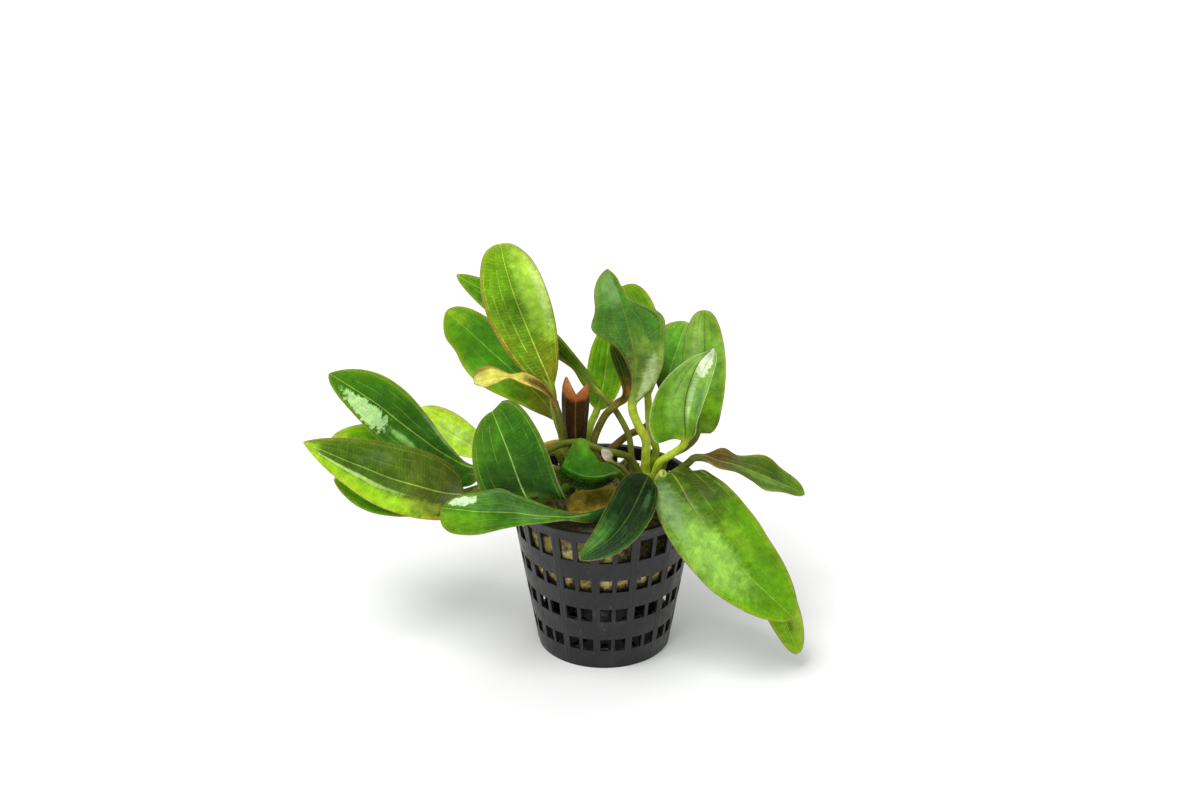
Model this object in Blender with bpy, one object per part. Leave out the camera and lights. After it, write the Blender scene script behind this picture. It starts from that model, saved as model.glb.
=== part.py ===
"""A potted sword plant for an aquarium: a net pot, a plug of rock wool, two short crowns and their leaves.

The origin is the middle of the pot's underside, +Z is up, +X is the plant's right and -Y is its front.
Sizes in the constants and tables are in millimetres, and MM turns them into Blender's metres.
"""
import math

import bpy
import bmesh
import numpy as np

MM = 0.001

# Net pot
POT_HEIGHT = 49.0
POT_TOP_RADIUS = 27.5
POT_BASE_RADIUS = 19.2
POT_WALL = 1.0
POT_FLOOR = 1.5
LIP_HEIGHT = 2.0
LIP_REACH = 0.45
HOLE_ROWS = ((6.3, 10.5), (17.1, 21.6), (27.8, 32.0), (38.3, 45.4))
HOLE_PAIRS = 14
HOLE_ANGLE = 8.5
PAIR_GAP_ANGLE = 3.0
FIRST_PAIR_ANGLE = -83.0
SLOT_COUNT = 8
SLOT_RADII = (8.0, 14.0)
SLOT_ANGLE = 11.0

# Plug of rock wool
WOOL_BOTTOM = 25.0
WOOL_TOP = 44.0
WOOL_GAP = 0.45
WOOL_SIDES = 28
WOOL_SUNK_SIDE = -35.0
WOOL_SUNK_DEPTH = 7.0
WOOL_BACK_RISE = 2.6

# Crowns: where each stands, its size, and the two rings of leaf roots around it
CROWN_PLACES = {"right": (12.5, 2.5), "left": (-6.5, 6.0)}
CROWN_BOTTOM = 44.9
CROWN_TOP = 50.9
CROWN_RADIUS = 3.4
CROWN_SIDES = 10
ROOT_RINGS = {"outer": (5.0, 48.5), "inner": (2.1, 51.6)}

# Leaves
BLADE_THICKNESS = 0.6
STALK_RADIUS = 1.1
STALK_STATION = 6.0
BLADE_STATIONS = 10
ACROSS = (-1.0, -0.55, 0.0, 0.55, 1.0)
TIP_CROWDING = 1.45
BUMP_REACH = 0.09
EAR_START = 0.6
LOBE_END = 0.6

POT_COLOUR = (0.035, 0.034, 0.037)
WOOL_COLOUR = (0.30, 0.23, 0.07)
CROWN_COLOUR = (0.30, 0.33, 0.05)
GREEN = (0.09, 0.27, 0.02)
LIME = (0.20, 0.42, 0.03)
DARK_GREEN = (0.03, 0.13, 0.02)
SILVER_GREEN = (0.25, 0.45, 0.14)
OLIVE = (0.14, 0.20, 0.02)
RED_BROWN = (0.13, 0.03, 0.015)
YELLOW_BROWN = (0.42, 0.33, 0.06)
OCHRE = (0.24, 0.14, 0.025)
BROWN = (0.18, 0.07, 0.02)


def root_place(crown, ring, degrees):
    """Where a leaf stalk starts, on one of the two rings around a crown."""
    x, y = CROWN_PLACES[crown]
    radius, height = ROOT_RINGS[ring]
    turn = math.radians(degrees)
    return (x + radius * math.cos(turn), y + radius * math.sin(turn), height)


def leaf(name, colour, root, route, neck, wide, face, **shape):
    """One row of the leaf table.

    root is a place on a crown and route the points that the midrib then follows to the tip;
    neck is the number of route points on the stalk, and the blade starts at the last of them.
    wide is the blade's greatest half width on the left and right side, seen with the tip up.
    face holds the directions that the blade's upper side looks, at its base and at its tip.
    taper shapes the outline towards base and tip, fold is the V along the midrib in degrees,
    curl the roll of the left and right half in degrees, and wave the ripple of the margins
    as a height, a number of waves and a phase. bumps adds to the half width near a place, and
    ears lets the left and right margin run ahead of the midrib at the tip, and lobes lets them
    hang back behind it at the base.
    """
    start = root_place(*root) if isinstance(root[0], str) else root
    row = dict(taper=((1.0, 0.65), (1.0, 0.65)), fold=(8, 8), curl=(10, 10), wave=(0.0, 2.0, 0.0),
               stalk=STALK_RADIUS, bumps=((), ()), ears=(0.0, 0.0), lobes=(0.0, 0.0))
    row.update(shape)
    row.update(name=name, colour=colour, route=[start] + list(route), neck=neck, wide=wide, face=face)
    return row


LEAVES = [
    leaf("leaf_high_left", LIME, ("left", "inner", 190),
         [(-11, 8.5, 58), (-14, 10.5, 67), (-15.3, 11, 76.5), (-19.3, 12, 87), (-25.3, 16, 101.5),
          (-28.5, 20, 111), (-29.7, 23, 116)], 3,
         (9.8, 9.5), ((0.1, -1, 0.3), (0.15, -0.9, 0.45)), taper=((0.65, 0.45), (0.75, 0.45))),
    leaf("leaf_high_behind", GREEN, ("right", "outer", 135),
         [(8, 7, 55), (7, 8.5, 62), (3, 11, 69), (-1, 13.5, 72.5), (-11, 20, 80.5), (-22, 26, 88.5),
          (-33, 30, 96.5), (-43, 33, 101.5)], 4,
         (8.5, 4.4), ((0.5, -0.6, 0.6), (0.1, -0.9, 0.6)), taper=((0.8, 0.8), (0.8, 0.6)), fold=(55, 20),
         stalk=0.9),
    leaf("leaf_left_wavy", GREEN, ("left", "inner", 100),
         [(-9, 12, 58), (-13, 14, 63.5), (-21, 15.5, 73.5), (-33, 19, 84), (-45.5, 22, 95.3)], 2,
         (9.3, 8), ((-0.1, -1, 0.2), (-0.1, -1, 0.3)), taper=((1.0, 0.65), (0.9, 0.5)), wave=(0.8, 2.2, 0.1),
         bumps=(((0.82, -1.5), (0.91, 0.9)), ())),
    leaf("leaf_curled", YELLOW_BROWN, ("left", "outer", -90),
         [(-9.5, 1, 56), (-12, 2, 64), (-13.5, 0.5, 74), (-17, -1, 81), (-25, -1, 85), (-31, -1, 85),
          (-37, 0, 83)], 3,
         (2.2, 4.5), ((0.2, -1, 0.5), (0, -1, 1)), taper=((1.0, 0.4), (1.0, 0.4)), fold=(50, 10),
         curl=(30, 60), bumps=(((0.64, -1.5), (0.88, 2.2)), ((0.64, -3.0), (0.88, 0.8)))),
    leaf("leaf_furled", RED_BROWN, ("left", "inner", -80),
         [(-7, 3.2, 57), (-8, 2.4, 62), (-8.3, 1.9, 68), (-8.2, 1.4, 74), (-8, 1, 78.8)], 1,
         (8.6, 8.6), ((0, 1, 0.1), (0, 1, 0.3)), taper=((0.45, 0.1), (0.45, 0.1)), curl=(105, 105),
         ears=(0.5, 3.0)),
    leaf("leaf_center_tall", GREEN, ("right", "inner", 110),
         [(12, 3, 58), (12, 3, 63), (10, 4, 67), (8, 5, 73), (9, 7, 82), (8, 9, 91), (5.4, 13, 100),
          (1, 19, 110)], 4,
         (7.2, 9.5), ((0, -1, 0.3), (-0.2, -1, 0.3)), taper=((2.0, 0.65), (1.0, 1.1)), stalk=1.3,
         bumps=(((0.55, 1.9), (0.64, 3.0)), ((0.575, 2.1), (0.74, -2.9), (0.86, -3.2)))),
    leaf("leaf_center_back", LIME, ("right", "outer", 90),
         [(15, 7, 57), (14, 8, 61), (13, 11, 65), (12.6, 14, 72), (11, 20, 84), (8.6, 25, 92),
          (5.4, 29, 100)], 4,
         (7, 6.8), ((0.1, -1, 0.2), (0.1, -1, 0.4)), taper=((0.7, 0.35), (0.7, 0.35))),
    leaf("leaf_center_left", LIME, ("left", "inner", 30),
         [(-5, 9.5, 58), (-4, 13, 62.5), (-2, 17, 66), (0, 20, 74), (1, 24, 82), (2, 28, 89)], 3,
         (5.5, 5.5), ((0, -1, 0.4), (0, -1, 0.4)), taper=((0.5, 0.6), (0.5, 0.6))),
    leaf("leaf_center_brown", OLIVE, ("left", "outer", -25),
         [(-2, 5, 55), (-3, 6, 61), (0, 8, 68), (3, 9, 71), (6, 10, 75), (5, 12, 81), (2, 15, 88)], 4,
         (4, 4), ((0.5, -1, 0.4), (0.5, -1, 0.4)), fold=(50, 30)),
    leaf("leaf_right_back", GREEN, ("left", "outer", 35),
         [(0, 10, 54), (2, 11, 56), (7, 14, 59), (13, 17, 61), (17, 20, 69), (20, 24, 78), (24, 30, 88)], 5,
         (8, 8), ((0, -1, 0.3), (0, -1, 0.3)), wave=(1.2, 2.0, 0.2)),
    leaf("leaf_right_tall", GREEN, ("right", "outer", 45),
         [(18, 7, 55), (24, 9, 58), (27, 10, 62), (28, 13, 71), (29, 17, 82), (29, 23, 95)], 3,
         (6.5, 6.8), ((-0.1, -1, 0.2), (-0.1, -1, 0.4)), taper=((0.5, 0.4), (0.25, 0.4))),
    leaf("leaf_right_silver", SILVER_GREEN, ("right", "inner", 10),
         [(16, 1, 57), (20, -1, 61), (23.2, -2, 65.5), (22.9, -1, 74), (23.8, 0.4, 80.5), (26.6, 3.2, 87.2),
          (31, 6.4, 91)], 3,
         (10, 7.2), ((-0.2, -1, 0.1), (0, -1, 0.3)), taper=((0.7, 1.6), (0.7, 0.55)), curl=(10, 58),
         lobes=(8.0, 0.0)),
    leaf("leaf_right_low", OLIVE, ("right", "outer", 0),
         [(20, 1, 53), (24, 0, 57), (27, 0, 59), (36, 0, 57), (46, 0, 53), (58, 0, 47)], 3,
         (6, 6), ((0, -0.2, 1), (0, -0.3, 1)), wave=(1.2, 2.2, 0.0), bumps=(((0.22, 1.4),), ((0.42, 1.8),))),
    leaf("leaf_front_right", GREEN, ("right", "inner", -60),
         [(18.4, -3.4, 54.6), (21, -8, 55), (27.5, -17, 48), (39, -22, 35), (54, -28, 22)], 1,
         (13, 14), ((0.3, -0.7, 0.7), (0.4, -0.7, 0.6)), taper=((0.4, 0.55), (0.5, 0.6))),
    leaf("leaf_front_right_under", LIME, ("right", "outer", -45),
         [(20, -3, 51.5), (27, -5, 52), (36, -9, 45), (45, -14, 30), (51.5, -18, 17), (56, -22, 6.5)], 2,
         (6, 6), ((0.3, -0.7, 0.7), (0.4, -0.8, 0.3)), taper=((0.8, 0.5), (0.8, 0.5))),
    leaf("leaf_front_centre", DARK_GREEN, ("right", "outer", -95),
         [(12.4, -4.6, 54), (11.8, -9, 56), (10, -17, 56), (6.5, -27, 54), (1, -33, 50), (-7, -36.4, 46)], 1,
         (6.2, 7), ((0.25, -0.6, 0.9), (0, -0.7, 0.7)), taper=((0.8, 0.7), (0.6, 0.7))),
    leaf("leaf_front_left_long", GREEN, ("right", "outer", -135),
         [(7, -8, 50), (3, -14, 50.1), (-4, -22, 51.4), (-15, -26, 53.8), (-25, -26, 55), (-35, -24, 54.4),
          (-46, -21, 54)], 3,
         (9.4, 5.8), ((0, -0.3, 1), (0, -0.6, 0.8)), taper=((2.0, 0.5), (1.3, 0.65)), stalk=1.6,
         bumps=((), ((0.63, 1.6),))),
    leaf("leaf_front_left_round", DARK_GREEN, ("left", "outer", -130),
         [(-11, -5, 52), (-19.8, -12.6, 50.6), (-22, -14.5, 54), (-24.2, -14.3, 59), (-27, -12.6, 67),
          (-31.7, -8, 78)], 3,
         (11.5, 11), ((0, -1, 0.2), (0.1, -1, 0.4)), taper=((0.3, 0.5), (0.1, 0.2)), ears=(0.0, 1.8),
         lobes=(0.0, 11.0)),
    leaf("leaf_left_big", OLIVE, ("right", "inner", 190),
         [(7, 2, 58), (-1, -1, 62), (-8, -2, 65), (-16, -5, 64), (-28, -8, 56), (-40, -10, 52),
          (-58, -9, 56), (-70, -7, 60), (-86, -4, 66)], 6,
         (10.3, 10.3), ((0, -0.7, 0.7), (0, -0.7, 0.7)), taper=((0.4, 0.85), (0.4, 0.8)), stalk=1.0),
    leaf("leaf_left_top", GREEN, ("left", "outer", 150),
         [(-14, 7, 57), (-21, 4, 56), (-36, 2, 54), (-46, 2, 59), (-56, 4, 66), (-67, 7, 74),
          (-79, 10, 81)], 3,
         (9.2, 8.2), ((0, -0.7, 0.7), (0, -0.7, 0.7)), taper=((0.35, 0.55), (1.6, 0.85))),
    leaf("leaf_left_between", LIME, ("left", "outer", 118),
         [(-14, 11, 56), (-24, 8, 53), (-39, 8, 51), (-51, 8, 54), (-65, 8, 58), (-79, 8, 61)], 3,
         (7, 7), ((0, -0.5, 0.8), (0, -0.5, 0.8))),
    leaf("leaf_left_low", GREEN, ("left", "outer", -170),
         [(-14, 4, 53), (-25, 2, 52), (-39, 0, 48), (-50, -1, 45), (-65, -1, 46), (-78, 0, 52)], 3,
         (6, 5), ((0, -0.5, 0.8), (0, -0.5, 0.8))),
    leaf("leaf_left_inner", LIME, ("left", "outer", 86),
         [(-12, 14, 56), (-20, 13, 55), (-30, 13, 53), (-42, 14, 58), (-54, 17, 66)], 3,
         (6, 5.5), ((0, -0.7, 0.7), (0, -0.7, 0.7))),
    leaf("leaf_folded", DARK_GREEN, ("right", "outer", -175),
         [(5, -5, 55), (3.3, -8, 58.5), (-0.6, -12, 59.3), (-6.2, -13, 60), (-12, -12.5, 63)], 2,
         (5.2, 10.4), ((0, -1, 0.3), (0, -1, 0.3)), taper=((0.5, 0.3), (0.75, 0.14)), fold=(-35, -35)),
    leaf("leaf_dried", YELLOW_BROWN, (8.6, -2.6, 52.5),
         [(5.2, -2.8, 57), (2.2, -3.4, 59.4), (-0.8, -3.8, 63.8)], 2,
         (2.2, 2.2), ((0, -1, 1), (0, -1, 1)), stalk=0.6, curl=(60, 60)),
    leaf("leaf_dead_flat", OCHRE, (-11.6, -7, 46.8),
         [(-10.8, -7, 47.1), (-5, -7.6, 47.6), (0.5, -7, 48.2), (5, -5, 49.2)], 1,
         (5, 5.4), ((0, -0.5, 0.85), (0, -0.5, 0.85)), taper=((0.25, 0.2), (0.2, 0.25)), stalk=0.6),
    leaf("leaf_dead_scrap", BROWN, (-13.4, -8, 46.4),
         [(-14.2, -7.5, 46.6), (-16.6, -6.5, 47), (-19, -5.5, 47.6)], 1,
         (2, 2.4), ((0, -0.2, 1), (0, -0.4, 1)), stalk=0.7, wave=(0.5, 2.0, 0.0)),
    leaf("stalk_stub", LIME, (14.6, -3.4, 51),
         [(15.7, -4.4, 54.2), (16.8, -6.4, 57.2), (16.9, -7.2, 58.2)], 2,
         (0.3, 0.3), ((1, 0, 0), (1, 0, 0)), stalk=1.25),
]


def clear_scene():
    """Removes whatever objects the open file holds."""
    for thing in list(bpy.data.objects):
        bpy.data.objects.remove(thing, do_unlink=True)


def make_material(name, colour, roughness):
    """A Principled material in one colour."""
    material = bpy.data.materials.new(name)
    material.use_nodes = True
    shader = material.node_tree.nodes["Principled BSDF"]
    shader.inputs["Base Color"].default_value = (*colour, 1.0)
    shader.inputs["Roughness"].default_value = roughness
    shader.inputs["Metallic"].default_value = 0.0
    return material


def make_object(name, mesh_data, colour, roughness):
    """Turns a bmesh in millimetres into a named object in metres, with its faces pointing out."""
    bmesh.ops.scale(mesh_data, vec=(MM, MM, MM), verts=mesh_data.verts)
    bmesh.ops.recalc_face_normals(mesh_data, faces=mesh_data.faces)
    mesh = bpy.data.meshes.new(name)
    mesh_data.to_mesh(mesh)
    mesh_data.free()
    mesh.shade_smooth()
    mesh.materials.append(make_material(name, colour, roughness))
    thing = bpy.data.objects.new(name, mesh)
    bpy.context.scene.collection.objects.link(thing)
    return thing


def join_squares(mesh_data, ring, following):
    """Joins two loops with one four-sided face for each of their points."""
    count = len(ring)
    for i in range(count):
        j = (i + 1) % count
        mesh_data.faces.new((ring[i], ring[j], following[j], following[i]))


def join_blade(mesh_data, ring, following):
    """Joins two loops of a leaf with triangles, cut along the same diagonals on its two faces.

    The loops' first half lies on the upper face and the second half comes back under it. With
    diagonals that differ, a thin rippled blade would pass through itself.
    """
    count = len(ring)
    for k in range(count // 2):
        rising = (following[k + 1].co - ring[k].co).length < (following[k].co - ring[k + 1].co).length
        for a, b in ((k, k + 1), (-k % count, count - k - 1)):
            if rising:
                mesh_data.faces.new((ring[a], ring[b], following[b]))
                mesh_data.faces.new((ring[a], following[b], following[a]))
            else:
                mesh_data.faces.new((ring[a], ring[b], following[a]))
                mesh_data.faces.new((ring[b], following[b], following[a]))


def skin_loops(loops, first_end, last_end, join=join_squares):
    """Skins closed loops of equally many points, and closes each end with a fan around a point."""
    mesh_data = bmesh.new()
    rings = [[mesh_data.verts.new(point) for point in loop] for loop in loops]
    count = len(rings[0])
    for ring, following in zip(rings, rings[1:]):
        join(mesh_data, ring, following)
    for ring, end in ((rings[0], first_end), (rings[-1], last_end)):
        middle = mesh_data.verts.new(end)
        for i in range(count):
            mesh_data.faces.new((middle, ring[i], ring[(i + 1) % count]))
    return mesh_data


def pot_radius(height):
    """The pot wall's outer radius at a height."""
    return POT_BASE_RADIUS + (POT_TOP_RADIUS - POT_BASE_RADIUS) * height / POT_HEIGHT


def pot_columns():
    """Angles of the pot's upright lines and, for each stretch after one, whether it holds holes."""
    pair_angle = 360.0 / HOLE_PAIRS
    pair_start = -(HOLE_ANGLE + PAIR_GAP_ANGLE / 2)
    angles = []
    open_stretch = []
    for pair in range(HOLE_PAIRS):
        angle = FIRST_PAIR_ANGLE + pair * pair_angle + pair_start
        pair = ((HOLE_ANGLE, True), (PAIR_GAP_ANGLE, False), (HOLE_ANGLE, True), (None, False))
        for width, is_open in pair:
            angles.append(math.radians(angle))
            open_stretch.append(is_open)
            angle += width or 0.0
    return angles, open_stretch


def slot_corners(index):
    """The four corners of one slot in the pot's floor, as x and y."""
    middle = math.radians(360.0 / SLOT_COUNT * index)
    half = math.radians(SLOT_ANGLE / 2)
    inner, outer = SLOT_RADII
    corners = ((inner, -half), (outer, -half), (outer, half), (inner, half))
    return [(r * math.cos(middle + a), r * math.sin(middle + a)) for r, a in corners]


def fill_flat(mesh_data, loops):
    """Fills the flat area between an outer loop of vertices and the loops of holes in it."""
    edges = []
    for loop in loops:
        for i, vert in enumerate(loop):
            other = loop[(i + 1) % len(loop)]
            edge = mesh_data.edges.get((vert, other)) or mesh_data.edges.new((vert, other))
            edges.append(edge)
    bmesh.ops.triangle_fill(mesh_data, edges=edges, use_beauty=True)


def make_pot():
    """The net pot: a tapered wall with four rows of paired holes, a lip, and a slotted floor."""
    angles, open_stretch = pot_columns()
    count = len(angles)
    lip_start = POT_HEIGHT - LIP_HEIGHT
    hole_levels = [level for row in HOLE_ROWS for level in row]
    mesh_data = bmesh.new()

    def ring(height, radius):
        return [mesh_data.verts.new((radius * math.cos(a), radius * math.sin(a), height)) for a in angles]

    def wall_ring(height, reach):
        return ring(height, pot_radius(height) + reach)

    outer = [wall_ring(z, 0.0) for z in [0.0] + hole_levels + [lip_start]]
    outer += [wall_ring(lip_start, LIP_REACH), wall_ring(POT_HEIGHT, LIP_REACH)]
    inner = [wall_ring(z, -POT_WALL) for z in [POT_FLOOR] + hole_levels + [lip_start, POT_HEIGHT]]

    def bridge(lower, upper, skip_open):
        for i in range(count):
            if skip_open and open_stretch[i]:
                continue
            j = (i + 1) % count
            mesh_data.faces.new((lower[i], lower[j], upper[j], upper[i]))

    for band in range(len(outer) - 1):
        is_hole_band = band % 2 == 1 and band < len(hole_levels)
        bridge(outer[band], outer[band + 1], is_hole_band)
    for band in range(len(inner) - 1):
        is_hole_band = band % 2 == 1 and band < len(hole_levels)
        bridge(inner[band + 1], inner[band], is_hole_band)
    bridge(outer[-1], inner[-1], False)

    for row in range(len(HOLE_ROWS)):
        low = 2 * row + 1
        high = low + 1
        for i in range(count):
            if not open_stretch[i]:
                continue
            j = (i + 1) % count
            corners = ((low, i), (low, j), (high, j), (high, i))
            for (level_a, side_a), (level_b, side_b) in zip(corners, corners[1:] + corners[:1]):
                mesh_data.faces.new((outer[level_a][side_a], outer[level_b][side_b],
                                     inner[level_b][side_b], inner[level_a][side_a]))

    slots = []
    for index in range(SLOT_COUNT):
        corners = slot_corners(index)
        below = [mesh_data.verts.new((x, y, 0.0)) for x, y in corners]
        above = [mesh_data.verts.new((x, y, POT_FLOOR)) for x, y in corners]
        for i in range(4):
            j = (i + 1) % 4
            mesh_data.faces.new((below[i], below[j], above[j], above[i]))
        slots.append((below, above))
    fill_flat(mesh_data, [outer[0]] + [below for below, above in slots])
    fill_flat(mesh_data, [inner[0]] + [above for below, above in slots])
    return make_object("pot", mesh_data, POT_COLOUR, 0.4)


def make_wool():
    """The plug of rock wool, a cone to fit the pot: lumpy on top, sunk at one side, raised at the back."""
    def side_ring(height, shrink, lumps):
        loop = []
        for i in range(WOOL_SIDES):
            angle = 2 * math.pi * i / WOOL_SIDES
            sunk = 0.5 + 0.5 * math.cos(angle - math.radians(WOOL_SUNK_SIDE))
            drop = lumps * (WOOL_SUNK_DEPTH * sunk ** 4 + 0.5 + 0.5 * math.sin(5 * angle))
            rise = lumps ** 2 * WOOL_BACK_RISE * min(1.0, max(0.0, 2 * math.sin(angle)))
            z = height - drop + rise
            radius = pot_radius(z) - POT_WALL - WOOL_GAP - shrink
            radius *= math.cos(math.pi / len(pot_columns()[0]))
            loop.append((radius * math.cos(angle), radius * math.sin(angle), z))
        return loop

    loops = [side_ring(WOOL_BOTTOM, 2.0, 0.0), side_ring(WOOL_BOTTOM + 2.0, 0.0, 0.0),
             side_ring(WOOL_TOP - 1.5, 0.0, 1.0), side_ring(WOOL_TOP, 2.5, 0.8),
             side_ring(WOOL_TOP, 11.0, 0.3)]
    mesh_data = skin_loops(loops, (0.0, 0.0, WOOL_BOTTOM), (0.0, 0.0, WOOL_TOP))
    return make_object("rock_wool", mesh_data, WOOL_COLOUR, 0.95)


def make_crown(side):
    """The short thick stem that the leaves of one plantlet grow from."""
    x, y = CROWN_PLACES[side]
    span = CROWN_TOP - CROWN_BOTTOM
    loops = []
    for share, width in ((0.0, 0.85), (0.2, 1.0), (0.55, 0.92), (0.85, 0.8), (1.0, 0.55)):
        loop = []
        for i in range(CROWN_SIDES):
            angle = 2 * math.pi * i / CROWN_SIDES
            radius = CROWN_RADIUS * width * (1 + 0.05 * math.cos(3 * angle + 4 * share))
            z = CROWN_BOTTOM + span * share
            loop.append((x + radius * math.cos(angle), y + radius * math.sin(angle), z))
        loops.append(loop)
    mesh_data = skin_loops(loops, (x, y, CROWN_BOTTOM), (x, y, CROWN_TOP))
    return make_object("crown_" + side, mesh_data, CROWN_COLOUR, 0.6)


def unit(vector):
    """Vectors of length one."""
    vector = np.asarray(vector, float)
    return vector / np.linalg.norm(vector, axis=-1, keepdims=True)


def smooth_route(points, steps=24):
    """A curve through the points: its places, the distance along it, and the index of each point."""
    p = np.asarray(points, float)
    p = np.vstack([2 * p[0] - p[1], p, 2 * p[-1] - p[-2]])
    pieces = []
    for a, b, c, d in zip(p, p[1:], p[2:], p[3:]):
        u = np.linspace(0, 1, steps, endpoint=False)[:, None]
        curve = 2 * b + (c - a) * u + (2 * a - 5 * b + 4 * c - d) * u ** 2 + (3 * b - a - 3 * c + d) * u ** 3
        pieces.append(0.5 * curve)
    line = np.vstack(pieces + [p[-2][None]])
    run = np.concatenate([[0], np.cumsum(np.linalg.norm(np.diff(line, axis=0), axis=1))])
    return line, run, np.arange(len(points)) * steps


def along(distances, line, run):
    """Places on the curve at given distances along it."""
    return np.stack([np.interp(distances, run, line[:, axis]) for axis in range(3)], axis=1)


def half_width(t, row, side):
    """Half width of a blade on one side, at shares t of its length."""
    base_power, tip_power = row["taper"][side]
    peak = base_power / (base_power + tip_power)
    outline = t ** base_power * (1 - t) ** tip_power / (peak ** base_power * (1 - peak) ** tip_power)
    width = row["wide"][side] * outline
    for place, size in row["bumps"][side]:
        width = width + size * np.exp(-((t - place) / BUMP_REACH) ** 2) * np.minimum(1, 4 * (1 - t))
    return width


def leaf_loops(row):
    """Closed loops around a leaf from its root to near its tip, and its two end points."""
    line, run, marks = smooth_route(row["route"])
    neck = run[marks[row["neck"]]]
    length = run[-1]
    stalk_count = max(2, round(neck / STALK_STATION))
    blade_share = 1 - (1 - np.linspace(0, 1, BLADE_STATIONS + 1)) ** TIP_CROWDING
    stalk_at = np.linspace(0, neck, stalk_count, endpoint=False)
    at = np.concatenate([stalk_at, neck + (length - neck) * blade_share[:-1]])
    places = along(at, line, run)
    tangent = unit(along(at + 0.8, line, run) - along(at - 0.8, line, run))
    t = np.clip((at - neck) / (length - neck), 0, 1)
    base_face, tip_face = unit(row["face"][0]), unit(row["face"][1])
    facing = base_face + (tip_face - base_face) * t[:, None]
    across = unit(np.cross(tangent, facing))
    normal = np.cross(across, tangent)

    open_up = np.clip(t / 0.2, 0, 1)
    open_up = open_up * open_up * (3 - 2 * open_up)
    shrink = np.sqrt(1 - t)
    stalk = row["stalk"] * (1 - 0.75 * t)
    fold = np.radians(row["fold"][0] + (row["fold"][1] - row["fold"][0]) * t) * open_up
    height, waves, phase = row["wave"]
    late = np.clip((t - EAR_START) / (1 - EAR_START), 0, 1) ** 2
    early = np.clip(1 - t / LOBE_END, 0, 1)
    upper, lower = [], []
    for x in ACROSS:
        side = 0 if x < 0 else 1
        m = abs(x)
        width = np.hypot(stalk * shrink, half_width(t, row, side))
        curl = np.maximum(np.radians(row["curl"][side]) * open_up, 1e-4)
        angle = fold + curl * m
        out = width * (np.sin(angle) - np.sin(fold)) / curl
        rise = width * (np.cos(fold) - np.cos(angle)) / curl
        ripple = np.sin(2 * np.pi * (waves * t + phase + 0.37 * side))
        rise = rise + height * m ** 2 * open_up * np.minimum(1, 3 * (1 - t)) * ripple
        middle = places + across * (np.sign(x) * out)[:, None] + normal * rise[:, None]
        ahead = row["ears"][side] * m ** 2 * late
        behind = row["lobes"][side] * (m * width / row["wide"][side]) ** 2 * early
        middle = middle + tangent * (ahead - behind)[:, None]
        up = normal * np.cos(angle)[:, None] - across * (np.sign(x) * np.sin(angle))[:, None]
        stalk_part = stalk * math.sqrt(1 - m * m) * (1 - open_up)
        blade_part = BLADE_THICKNESS / 2 * (1 - m ** 3) * (1 + 0.5 * (1 - m) ** 4) * shrink * open_up
        thick = (stalk_part + blade_part)[:, None]
        upper.append(middle + up * thick)
        lower.append(middle - up * thick)
    loops = np.stack(upper + lower[-2:0:-1], axis=1)
    return loops, loops[0].mean(axis=0), line[-1]


def make_leaf(row):
    """One leaf, its stalk and blade in one piece."""
    loops, root_end, tip_end = leaf_loops(row)
    mesh_data = skin_loops(loops.tolist(), root_end.tolist(), tip_end.tolist(), join_blade)
    return make_object(row["name"], mesh_data, row["colour"], 0.4)


def main():
    clear_scene()
    make_pot()
    make_wool()
    for side in CROWN_PLACES:
        make_crown(side)
    for row in LEAVES:
        make_leaf(row)


main()
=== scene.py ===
# %% [markdown]
# A sword plant in a net pot.
# The real thing is a black plastic pot with rows of small windows, a plug of rock wool in it,
# and two short crowns whose stalked leaves fan out on all sides.
# The packed model gives the place and the size of every piece. This script gives each piece
# its fine shape and its surface, so the first step is to load that model.

# %% Load the frame
import math

import bmesh
import bpy
import numpy as np
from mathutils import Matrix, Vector, noise


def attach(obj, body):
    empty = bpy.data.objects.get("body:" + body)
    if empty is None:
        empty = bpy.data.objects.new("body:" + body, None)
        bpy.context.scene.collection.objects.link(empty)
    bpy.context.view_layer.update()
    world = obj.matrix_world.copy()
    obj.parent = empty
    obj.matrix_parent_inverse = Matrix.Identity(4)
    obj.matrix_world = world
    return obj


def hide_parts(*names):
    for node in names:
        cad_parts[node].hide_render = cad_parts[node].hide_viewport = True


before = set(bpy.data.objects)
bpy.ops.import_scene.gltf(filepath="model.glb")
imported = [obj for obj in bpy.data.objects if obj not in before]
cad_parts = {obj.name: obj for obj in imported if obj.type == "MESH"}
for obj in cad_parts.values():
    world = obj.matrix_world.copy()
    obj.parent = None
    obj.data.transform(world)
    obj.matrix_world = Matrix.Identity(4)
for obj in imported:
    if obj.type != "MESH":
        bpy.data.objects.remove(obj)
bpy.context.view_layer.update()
MM = 0.001
scene = bpy.context.scene
print("nodes in the frame:", len(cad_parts))

# %% [markdown]
# The camera comes before the pieces, because it decides how fine each of them has to be.
# The photograph looks down on the pot from the front with a long lens, which keeps the pot's
# sides almost straight. Tilt, distance and the point looked at are the three numbers to set.

# %% Camera
VIEW_TILT = math.radians(26.8)
VIEW_DISTANCE = 0.95
VIEW_TARGET = Vector((-0.0012, 0.0, 0.0775))
VIEW_LENS = 100.0
VIEW_SENSOR = 36.0


def add_object(name, data):
    """Puts an object with this data into the scene, at the origin."""
    thing = bpy.data.objects.new(name, data)
    scene.collection.objects.link(thing)
    return thing


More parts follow.
